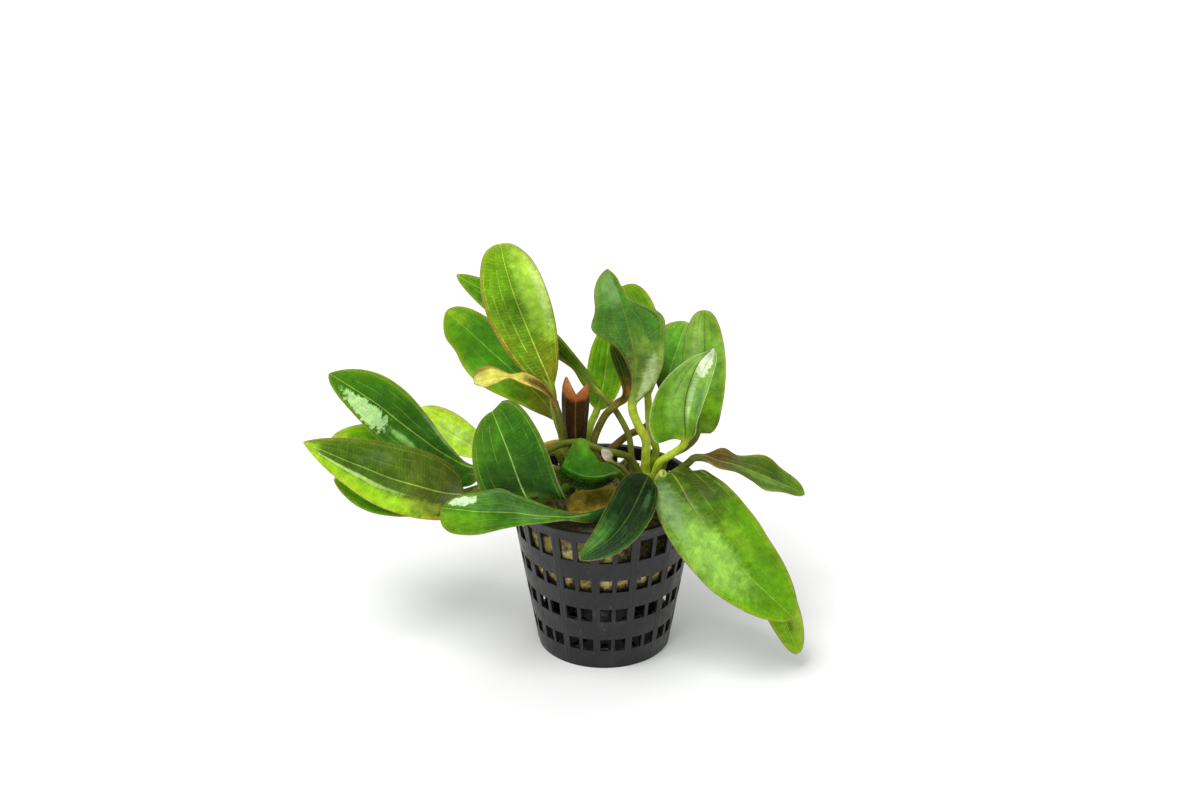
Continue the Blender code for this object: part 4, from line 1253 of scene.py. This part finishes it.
# %% Colours of the kinds of leaf
LEAF_LOOK = dict(low=(0.13, 0.26, 0.010), high=(0.09, 0.27, 0.010), stalk=(0.17, 0.20, 0.02),
                 vein=(0.34, 0.50, 0.07), vein_share=0.3, midrib_share=0.7, rung_share=0.08,
                 rim=(0.18, 0.06, 0.02), rim_share=0.6, rim_width=0.3, dim=(0.035, 0.14, 0.006),
                 dim_share=0.5, under=(0.16, 0.33, 0.05), clean_under=0.8, spots=0.0, dull=0.0)
KINDS = {
    "green": dict(slot="green_leaf"),
    "lime": dict(slot="lime_leaf", low=(0.19, 0.34, 0.008), high=(0.16, 0.36, 0.008),
                 dim=(0.08, 0.22, 0.006), vein=(0.44, 0.58, 0.10), stalk=(0.32, 0.42, 0.02)),
    "dark": dict(slot="dark_green_leaf", low=(0.022, 0.07, 0.005), high=(0.035, 0.12, 0.008),
                 dim=(0.012, 0.05, 0.005), vein=(0.17, 0.32, 0.05), stalk=(0.08, 0.16, 0.012),
                 under=(0.08, 0.20, 0.03), rim_share=0.3),
    "silver": dict(slot="silver_green_leaf", low=(0.17, 0.33, 0.03), high=(0.25, 0.42, 0.10),
                   vein=(0.10, 0.14, 0.02), dim=(0.11, 0.28, 0.02), stalk=(0.34, 0.45, 0.03)),
    "olive": dict(slot="olive_leaf", low=(0.12, 0.15, 0.008), high=(0.09, 0.19, 0.006),
                  dim=(0.045, 0.085, 0.005), vein=(0.30, 0.40, 0.06), stalk=(0.13, 0.16, 0.015)),
    "maroon": dict(slot="red_brown_leaf", low=(0.075, 0.030, 0.008), high=(0.11, 0.035, 0.012),
                   dim=(0.030, 0.014, 0.005), vein=(0.24, 0.11, 0.035), stalk=(0.16, 0.18, 0.02),
                   under=(0.12, 0.045, 0.015), rim_share=0.5, rim=(0.22, 0.06, 0.02)),
    "straw": dict(slot="yellow_brown_leaf", low=(0.24, 0.18, 0.02), high=(0.56, 0.50, 0.14),
                  dim=(0.14, 0.08, 0.015), vein=(0.62, 0.54, 0.18), stalk=(0.16, 0.18, 0.02),
                  under=(0.48, 0.40, 0.12), rim=(0.22, 0.08, 0.02), rim_share=0.8, rim_width=0.5),
    "ochre": dict(slot="yellow_brown_leaf", low=(0.20, 0.13, 0.02), high=(0.13, 0.08, 0.012),
                  dim=(0.05, 0.03, 0.005), vein=(0.26, 0.18, 0.04), stalk=(0.12, 0.08, 0.015),
                  under=(0.12, 0.07, 0.015), rim=(0.34, 0.24, 0.07), rim_share=0.5),
}
print("kinds of leaf:", ", ".join(KINDS))

# %% [markdown]
# No two leaves of a plant are coloured alike, so a leaf may change some values of its kind.
# Only the values that differ are written here.

# %% Colours of single leaves
LEAF_LOOKS = {
    "leaf_high_left": dict(
        low=(0.16, 0.19, 0.002), high=(0.12, 0.28, 0.003), vein=(0.50, 0.62, 0.08), rung_share=0.26,
        midrib_share=0.9, vein_share=0.7, rim_share=0.9, rim_width=0.4),
    "leaf_high_behind": dict(low=(0.10, 0.12, 0.006), high=(0.06, 0.19, 0.004)),
    "leaf_left_wavy": dict(low=(0.20, 0.25, 0.005), high=(0.07, 0.26, 0.004)),
    "leaf_curled": dict(
        low=(0.12, 0.05, 0.012), high=(0.80, 0.74, 0.16), dim=(0.50, 0.46, 0.04), dim_share=0.3,
        clean_under=0.0),
    "leaf_furled": dict(
        high=(0.10, 0.03, 0.006), low=(0.05, 0.02, 0.004), dim=(0.02, 0.012, 0.002),
        under=(0.022, 0.009, 0.001), vein=(0.16, 0.10, 0.012), vein_share=0.5, clean_under=0.0),
    "leaf_center_tall": dict(
        low=(0.24, 0.34, 0.04), high=(0.055, 0.17, 0.018), dim=(0.025, 0.10, 0.010),
        vein=(0.48, 0.54, 0.10), vein_share=0.14, midrib_share=0.2, rung_share=0.08, rim=(0.10, 0.02, 0.02),
        rim_share=0.9, stalk=(0.54, 0.66, 0.05)),
    "leaf_center_back": dict(low=(0.12, 0.28, 0.003), high=(0.08, 0.25, 0.003)),
    "leaf_center_left": dict(low=(0.18, 0.36, 0.004), high=(0.14, 0.36, 0.004), vein_share=0.4),
    "leaf_center_brown": dict(
        low=(0.28, 0.11, 0.015), high=(0.035, 0.05, 0.004), rim=(0.30, 0.12, 0.02),
        stalk=(0.17, 0.16, 0.02)),
    "leaf_right_back": dict(low=(0.08, 0.12, 0.005), high=(0.15, 0.37, 0.045), stalk=(0.15, 0.09, 0.015)),
    "leaf_right_tall": dict(
        low=(0.19, 0.37, 0.01), high=(0.17, 0.33, 0.04), vein=(0.06, 0.09, 0.01), rim=(0.08, 0.03, 0.015),
        rim_share=0.9),
    # Painted highlight: the whitish rim along the margins.
    "leaf_right_silver": dict(
        low=(0.13, 0.28, 0.01), high=(0.22, 0.40, 0.07), vein=(0.08, 0.07, 0.012), vein_share=0.5,
        midrib_share=0.9, rim=(0.60, 0.76, 0.42), rim_share=0.5, stalk=(0.50, 0.62, 0.04)),
    "leaf_right_low": dict(
        low=(0.11, 0.055, 0.012), high=(0.06, 0.13, 0.006), spots=0.7, rim=(0.45, 0.17, 0.02)),
    "leaf_front_right": dict(
        low=(0.06, 0.11, 0.002), high=(0.10, 0.27, 0.002), dim=(0.06, 0.19, 0.002), rim_share=0.8,
        rung_share=0.06),
    "leaf_front_right_under": dict(low=(0.22, 0.38, 0.01), high=(0.22, 0.44, 0.01)),
    # Partly painted shade: this blade lies under others, and its greens are made nearly black.
    "leaf_front_centre": dict(
        low=(0.002, 0.008, 0.001), high=(0.005, 0.024, 0.001), dim=(0.003, 0.012, 0.001),
        vein=(0.07, 0.16, 0.03)),
    # Partly painted shade: blade and stalk are made dark where they lie under the front leaves.
    "leaf_front_left_long": dict(
        low=(0.02, 0.08, 0.006), high=(0.035, 0.14, 0.003), stalk=(0.014, 0.07, 0.004), rim_share=0.15),
    "leaf_front_left_round": dict(
        low=(0.025, 0.09, 0.002), high=(0.05, 0.17, 0.005), vein=(0.34, 0.54, 0.14), midrib_share=0.9,
        vein_share=0.35, rung_share=0.05),
    "leaf_left_big": dict(
        low=(0.075, 0.105, 0.004), high=(0.06, 0.135, 0.003), dim=(0.035, 0.07, 0.003),
        vein=(0.36, 0.50, 0.10), vein_share=0.22, rung_share=0.1),
    "leaf_left_top": dict(
        low=(0.035, 0.13, 0.006), high=(0.026, 0.11, 0.001), dim=(0.02, 0.09, 0.002), rung_share=0.04),
    "leaf_left_between": dict(high=(0.13, 0.35, 0.006)),
    "leaf_left_low": dict(low=(0.06, 0.15, 0.005), high=(0.08, 0.22, 0.005)),
    "leaf_left_inner": dict(
        low=(0.50, 0.78, 0.06), high=(0.56, 0.86, 0.06), dim=(0.30, 0.58, 0.01), dim_share=0.35,
        stalk=(0.50, 0.32, 0.02)),
    # Partly painted shade: the blade is made dark, and its clouds darken it further.
    "leaf_folded": dict(
        low=(0.03, 0.10, 0.002), high=(0.03, 0.15, 0.002), dim=(0.015, 0.07, 0.001), dim_share=0.7,
        vein=(0.16, 0.32, 0.04), vein_share=0.1, rim_share=0.1),
    "leaf_dried": dict(low=(0.30, 0.24, 0.12), high=(0.66, 0.64, 0.54), under=(0.50, 0.46, 0.36), dull=0.3),
    "leaf_dead_flat": dict(
        low=(0.42, 0.32, 0.03), high=(0.36, 0.27, 0.025), dim=(0.06, 0.05, 0.005), dim_share=0.95,
        dull=0.45, vein_share=0.1, rung_share=0.1, midrib_share=0.2, spots=0.4),
    "stalk_stub": dict(stalk=(0.56, 0.70, 0.14)),
}
print("leaves with colours of their own:", len(LEAF_LOOKS))

# %% [markdown]
# A leaf may also carry patches. Some are the leaf's own colour, such as rust or a yellowed tip;
# the others are painted highlights, painted reflections and painted shade. A patch is written as
# its place across the blade, from -1 at the left margin to 1 at the right one, its place along
# the blade, from 0 to 1, how far it reaches in both directions, its colour and its strength. The
# word crisp gives it a hard edge.

# %% Patches of single leaves
# Painted reflection: a near-white green for glare of the light on a blade.
PAINTED_WHITE_REFLECTION = (0.72, 0.84, 0.56)
RUST = (0.26, 0.11, 0.012)
# Painted shade: near black for a blade half that lies in shadow.
PAINTED_SHADE_BLACK = (0.004, 0.010, 0.002)
LEAF_PATCHES = {
    "leaf_high_left": [
        # Painted sheen: the two pale patches on the right half.
        (0.6, 0.66, 0.62, 0.45, (0.40, 0.68, 0.06), 0.85),
        (0.8, 0.6, 0.2, 0.3, (0.62, 0.84, 0.30), 0.6),
        (-0.95, 0.35, 0.14, 0.45, RUST, 0.6),
        (0.6, 0.1, 0.6, 0.16, (0.32, 0.34, 0.006), 0.7)],
    "leaf_high_behind": [
        (-0.5, 0.35, 0.5, 0.25, (0.16, 0.12, 0.01), 0.6),
        # Painted highlight on the upper blade.
        (0.0, 0.8, 0.5, 0.3, (0.10, 0.30, 0.01), 0.5)],
    "leaf_left_wavy": [
        (0.2, 0.93, 0.5, 0.12, (0.26, 0.42, 0.01), 0.5),
        (-0.3, 0.15, 0.8, 0.2, (0.26, 0.26, 0.01), 0.6),
        (-0.6, 0.5, 0.3, 0.2, (0.12, 0.34, 0.03), 0.5)],
    "leaf_curled": [
        (0.0, 0.72, 0.4, 0.18, (0.50, 0.56, 0.03), 0.6),
        (0.9, 0.85, 0.3, 0.3, (0.42, 0.15, 0.01), 0.9),
        (0.2, 0.32, 1.0, 0.24, (0.10, 0.035, 0.008), 0.9)],
    "leaf_furled": [
        (0.0, 1.0, 3.0, 0.14, (0.40, 0.085, 0.025), 0.9),
        (0.95, 0.25, 0.3, 0.5, (0.14, 0.14, 0.01), 0.6)],
    "leaf_center_tall": [
        # Painted highlight low on the right half.
        (0.62, 0.2, 0.4, 0.2, (0.62, 0.74, 0.36), 0.7),
        (-0.95, 0.3, 0.35, 0.28, (0.035, 0.045, 0.004), 0.9),
        # Painted shade in a crease on the right.
        (0.82, 0.66, 0.06, 0.14, (0.03, 0.03, 0.01), 0.9),
        # Painted sheen near the tip.
        (-0.2, 0.86, 0.6, 0.16, (0.17, 0.32, 0.12), 0.6)],
    "leaf_right_tall": [
        # Painted sheen on the upper left.
        (-0.4, 0.75, 0.4, 0.25, (0.30, 0.44, 0.12), 0.5)],
    "leaf_right_silver": [
        (-0.8, 0.25, 0.45, 0.5, (0.09, 0.23, 0.002), 0.95),
        # Painted reflection and painted sheen right of the midrib.
        (0.3, 0.85, 0.4, 0.2, PAINTED_WHITE_REFLECTION, 0.85, "crisp"),
        (0.2, 0.45, 0.16, 0.35, (0.42, 0.62, 0.28), 0.75),
        (0.65, 0.45, 0.25, 0.25, (0.09, 0.19, 0.08), 0.7)],
    "leaf_right_low": [
        (0.2, 0.6, 0.4, 0.3, (0.20, 0.34, 0.04), 0.6),
        (-0.7, 0.2, 0.3, 0.15, (0.20, 0.13, 0.01), 0.6)],
    "leaf_front_right": [
        # Painted sheen: the two pale patches on the blade.
        (0.4, 0.46, 0.75, 0.4, (0.34, 0.62, 0.10), 0.75),
        (0.6, 0.2, 0.45, 0.2, (0.24, 0.38, 0.14), 0.8),
        (0.0, 0.12, 0.05, 0.26, (0.13, 0.06, 0.012), 0.85),
        (-0.6, 0.14, 0.6, 0.2, (0.035, 0.06, 0.001), 0.9),
        (-0.4, 0.52, 0.3, 0.2, (0.24, 0.46, 0.02), 0.5)],
    "leaf_front_right_under": [
        (-0.1, 0.86, 0.3, 0.035, (0.06, 0.09, 0.008), 0.6),
        (-0.6, 0.8, 0.4, 0.3, (0.32, 0.46, 0.05), 0.5)],
    "leaf_front_centre": [
        # Painted sheen: the two pale bluish patches.
        (0.5, 0.85, 0.6, 0.28, (0.06, 0.19, 0.03), 0.65),
        (-0.5, 0.35, 0.2, 0.14, (0.09, 0.18, 0.06), 0.5)],
    "leaf_front_left_long": [
        (0.0, 0.38, 0.9, 0.2, (0.08, 0.20, 0.04), 0.7),
        (-0.45, 0.82, 0.55, 0.26, (0.11, 0.29, 0.002), 0.85),
        # Painted highlight near the tip.
        (0.6, 0.87, 0.35, 0.1, (0.60, 0.84, 0.45), 0.85, "crisp")],
    "leaf_front_left_round": [
        # Painted shade on the right half.
        (0.55, 0.6, 0.6, 0.9, (0.018, 0.085, 0.002), 0.9),
        # Painted shade at the base.
        (0.0, 0.1, 1.4, 0.16, (0.012, 0.055, 0.003), 0.8),
        # Painted highlight along the right margin.
        (1.0, 0.3, 0.05, 0.3, (0.20, 0.32, 0.10), 0.7)],
    "leaf_left_big": [
        (-0.74, 0.62, 0.46, 0.62, (0.30, 0.56, 0.008), 0.9),
        # Painted highlight on a ridge of the left half.
        (-0.37, 0.68, 0.10, 0.38, (0.56, 0.76, 0.22), 0.8),
        (-0.6, 0.22, 0.3, 0.16, (0.30, 0.38, 0.03), 0.7),
        (-0.95, 0.1, 0.14, 0.14, (0.52, 0.30, 0.015), 0.9),
        (0.5, 0.55, 0.3, 0.12, (0.12, 0.20, 0.05), 0.5),
        (0.0, 0.97, 0.9, 0.1, (0.26, 0.44, 0.015), 0.8)],
    "leaf_left_top": [
        # Painted highlight: the crisp pale patch and the one below it.
        (-0.5, 0.72, 0.45, 0.18, (0.50, 0.80, 0.32), 0.8, "crisp"),
        (-0.4, 0.46, 0.16, 0.12, (0.30, 0.56, 0.16), 0.6),
        # Painted sheen near the base of the right margin.
        (0.9, 0.25, 0.25, 0.25, (0.20, 0.36, 0.18), 0.6),
        (-0.7, 0.3, 0.4, 0.25, (0.09, 0.28, 0.01), 0.7)],
    "leaf_left_between": [
        (0.0, 1.0, 0.9, 0.14, (0.48, 0.36, 0.03), 0.7)],
    "leaf_left_inner": [
        # Painted sheen on the middle of the blade.
        (0.1, 0.5, 0.6, 0.35, (0.58, 0.82, 0.20), 0.6),
        (0.9, 0.75, 0.3, 0.3, RUST, 0.3)],
    "leaf_folded": [
        (0.9, 0.75, 0.4, 0.3, (0.09, 0.26, 0.01), 0.6),
        # Painted shade on the lower half, which folds down under the upper one.
        (-0.9, 0.5, 0.9, 2.0, PAINTED_SHADE_BLACK, 0.97)],
}
print("patches in all:", sum(len(rows) for rows in LEAF_PATCHES.values()))

# %% [markdown]
# Leaf finish, last part: the material of one leaf. The colours go on one after another, as a
# painter would put them: the blade, its clouds, the underside, the patches, the veins, the
# spots, the margin and the stalk. Light shines through a thin leaf, so the shader has some
# subsurface scattering, and the bump adds the grain that is too fine for the mesh.

# %% Leaf finish
CRISP = {"Softness": 0.25, "Raggedness": 1.5}
SOFT = {"Softness": 0.65, "Raggedness": 0.9}
SPOT_COLOUR = (0.10, 0.045, 0.012)


def leaf_finish(name, look, patches):
    """The material of one leaf, from its colours and shares, and its patches."""
    material, nodes, shader = new_material(
        name, Subsurface_Weight=0.3, Subsurface_Radius=(0.7, 1.0, 0.25), Subsurface_Scale=0.0012,
        Coat_Weight=0.05 * (1 - look["dull"]), Coat_Roughness=0.18, Specular_IOR_Level=0.1)
    place = nodes.add("ShaderNodeAttribute", output="Vector", attribute_name="leaf_place")
    millimetres = nodes.add("ShaderNodeAttribute", output="Vector", attribute_name="leaf_mm")
    body = nodes.place()
    share, under = nodes.split(place)[1:]
    forward = nodes.split(millimetres)[1]
    pattern = nodes.use(VEINS, {"Place": place, "Millimetres": millimetres})
    cloud = nodes.mask(MOTTLE, body, 140.0, From=0.35, To=0.7)
    grain = nodes.mask(MOTTLE, body, 900.0, From=0.3, To=0.7)

    colour = nodes.mix(nodes.ramp(share + (cloud - 0.5) * 0.3, 0.05, 0.55), look["low"], look["high"])
    dimmed = cloud * 0.6 + grain * 0.4
    colour = nodes.mix(dimmed * look["dim_share"], colour, look["dim"])
    colour = nodes.mix(under * 0.8, colour, look["under"])
    seen = 1.0 - under * look["clean_under"]
    # Some patches are the leaf's own colour; the others are painted highlights, painted reflections and
    # painted shade.
    for centre_across, centre_share, reach_across, reach_share, tint, strength, *crisp in patches:
        patch = nodes.use(PATCH, {
            "Place": place, "Millimetres": millimetres, "Ladder": pattern["Ladder"],
            "Centre Across": centre_across, "Centre Share": centre_share,
            "Reach Across": reach_across, "Reach Share": reach_share,
            **(CRISP if crisp else SOFT)})["Mask"]
        colour = nodes.mix(patch * strength * seen, colour, tint)
    colour = nodes.mix(pattern["Rungs"] * look["rung_share"], colour, look["vein"])
    colour = nodes.mix(pattern["Veins"] * look["vein_share"], colour, look["vein"])
    colour = nodes.mix(pattern["Midrib"] * look["midrib_share"], colour, look["vein"])
    spots = nodes.mask(SPECKS, body, 520.0, Size=0.3, Share=0.25)
    colour = nodes.mix(spots * cloud * look["spots"], colour, SPOT_COLOUR)
    edge = nodes.ramp(pattern["Rim"] - grain * 0.12, look["rim_width"], 0.05) * nodes.ramp(share, 0.02, 0.12)
    colour = nodes.mix(edge * look["rim_share"], colour, look["rim"])
    colour = nodes.mix(nodes.ramp(forward, 2.5, -1.0), colour, look["stalk"])
    broad = nodes.ramp(nodes.noise(body, 75.0, detail=3.0), 0.3, 0.7, 0.70, 1.28)
    fine = nodes.ramp(nodes.noise(body, 420.0, detail=5.0, roughness=0.65), 0.3, 0.7, 0.78, 1.22)
    tone = broad * fine
    colour = nodes.mix(1.0, colour, nodes.join(tone, tone, tone), blend="MULTIPLY")
    roughness = nodes.ramp(dimmed, 0.0, 1.0, 0.3, 0.46) + under * 0.12 + look["dull"]
    height = grain * 0.5 - pattern["Rungs"] * 0.6 - pattern["Veins"] * 0.5
    nodes.finish(shader, colour, roughness, 0.5, 0.2 * MM, height)
    return material


print("looks of a patch:", CRISP, SOFT)

# %% [markdown]
# Everything for the leaves is ready. Each row of the table becomes one piece, which takes the
# place of the node that has its name. A row's number shapes the slow unevenness of its blade,
# so that no two leaves are bent alike.

# %% All leaves
total = 0
for number, row in enumerate(LEAVES):
    name = row["name"]
    piece = leaf_piece(row, float(number))
    look = {**LEAF_LOOK, **KINDS[row["kind"]], **LEAF_LOOKS.get(name, {})}
    piece.data.materials.append(leaf_finish(name + "_look", look, LEAF_PATCHES.get(name, ())))
    finish_piece(piece, name)
    total += count_triangles(piece.data)
print("leaves have", total, "triangles in all")

# %% [markdown]
# The crowns are the short stems from which the stalks rise. Their flesh is a pale yellow green
# that browns towards the wool, with fine upright ribs.

# %% Crown finish


def crown_finish():
    """Pale yellow-green stem tissue, browner at its foot."""
    material, nodes, shader = new_material(
        "crown_flesh", Subsurface_Weight=0.35, Subsurface_Radius=(0.8, 1.0, 0.3),
        Subsurface_Scale=0.0015, Coat_Weight=0.2, Coat_Roughness=0.2)
    place = nodes.place()
    height = nodes.split(place)[2]
    patches = nodes.mask(MOTTLE, place, 500.0, From=0.4, To=0.65)
    ribs = nodes.mask(SCRATCHES, place, 1600.0, Stretch=0.1, Share=0.5)
    colour = nodes.mix(patches * 0.5, (0.60, 0.70, 0.06), (0.38, 0.50, 0.03))
    colour = nodes.mix(nodes.ramp(height, 0.0475, 0.0445), colour, (0.16, 0.10, 0.02))
    colour = nodes.mix(ribs * 0.3, colour, (0.50, 0.58, 0.14))
    nodes.finish(shader, colour, nodes.ramp(patches, 0.0, 1.0, 0.35, 0.5), 0.5, 0.2 * MM, ribs + patches)
    return material


CROWN_FLESH = crown_finish()
print("finish:", CROWN_FLESH.name)

# %% [markdown]
# Each stalk's base wraps the crown as a sheath, so the crown swells towards every stalk that
# stands on it. The swelling is worked out from the table: one smooth ridge in the direction of
# each leaf's root. Shallow ripples round the crown are the edges of old sheaths.

# %% Crowns
CROWN_BOTTOM = 44.0
CROWN_TOP = 51.2
CROWN_RADIUS = 3.3
CROWN_SIDES = 96
CROWN_RINGS = 40
CROWN_NEAR = 6.0
SHEATH_REACH = 1.0
SHEATH_WIDTH = 0.34
RIPPLE_COUNT = 23
RIPPLE_DEPTH = 0.06


def crown_piece(side, material):
    """One crown, with a ridge towards every stalk that stands on it."""
    x, y = CROWN_PLACES[side]
    roots = [row["route"][1] for row in LEAVES if row["rooted"]]
    near = [(rx - x, ry - y) for rx, ry, rz in roots if math.hypot(rx - x, ry - y) < CROWN_NEAR]
    around = np.arange(CROWN_SIDES) * math.tau / CROWN_SIDES
    rings = []
    for share in np.linspace(0.0, 1.0, CROWN_RINGS):
        body = CROWN_RADIUS * (0.8 + 0.25 * math.sin(math.pi * min(1.0, share * 1.2)))
        body *= math.sqrt(max(0.02, 1 - share ** 6))
        ridge = sum(np.exp(-((np.angle(np.exp(1j * (around - math.atan2(b, a))))) / SHEATH_WIDTH) ** 2)
                    for a, b in near)
        radius = body + SHEATH_REACH * np.minimum(ridge, 1.2) * math.sin(math.pi * share) ** 0.5
        radius = radius + RIPPLE_DEPTH * np.cos(RIPPLE_COUNT * around + 5 * share)
        ring_x, ring_y = x + radius * np.cos(around), y + radius * np.sin(around)
        height = CROWN_BOTTOM + (CROWN_TOP - CROWN_BOTTOM) * share
        rings.append(np.stack([ring_x, ring_y, np.full(CROWN_SIDES, height)], axis=1))
    mesh = closed_skin("crown_" + side + "_flesh", rings, (x, y, CROWN_BOTTOM), (x, y, CROWN_TOP))
    mesh.materials.append(material)
    return add_object("crown_" + side + "_flesh", mesh)


for crown_side in CROWN_PLACES:
    finish_piece(crown_piece(crown_side, CROWN_FLESH), "crown_" + crown_side)

# %% [markdown]
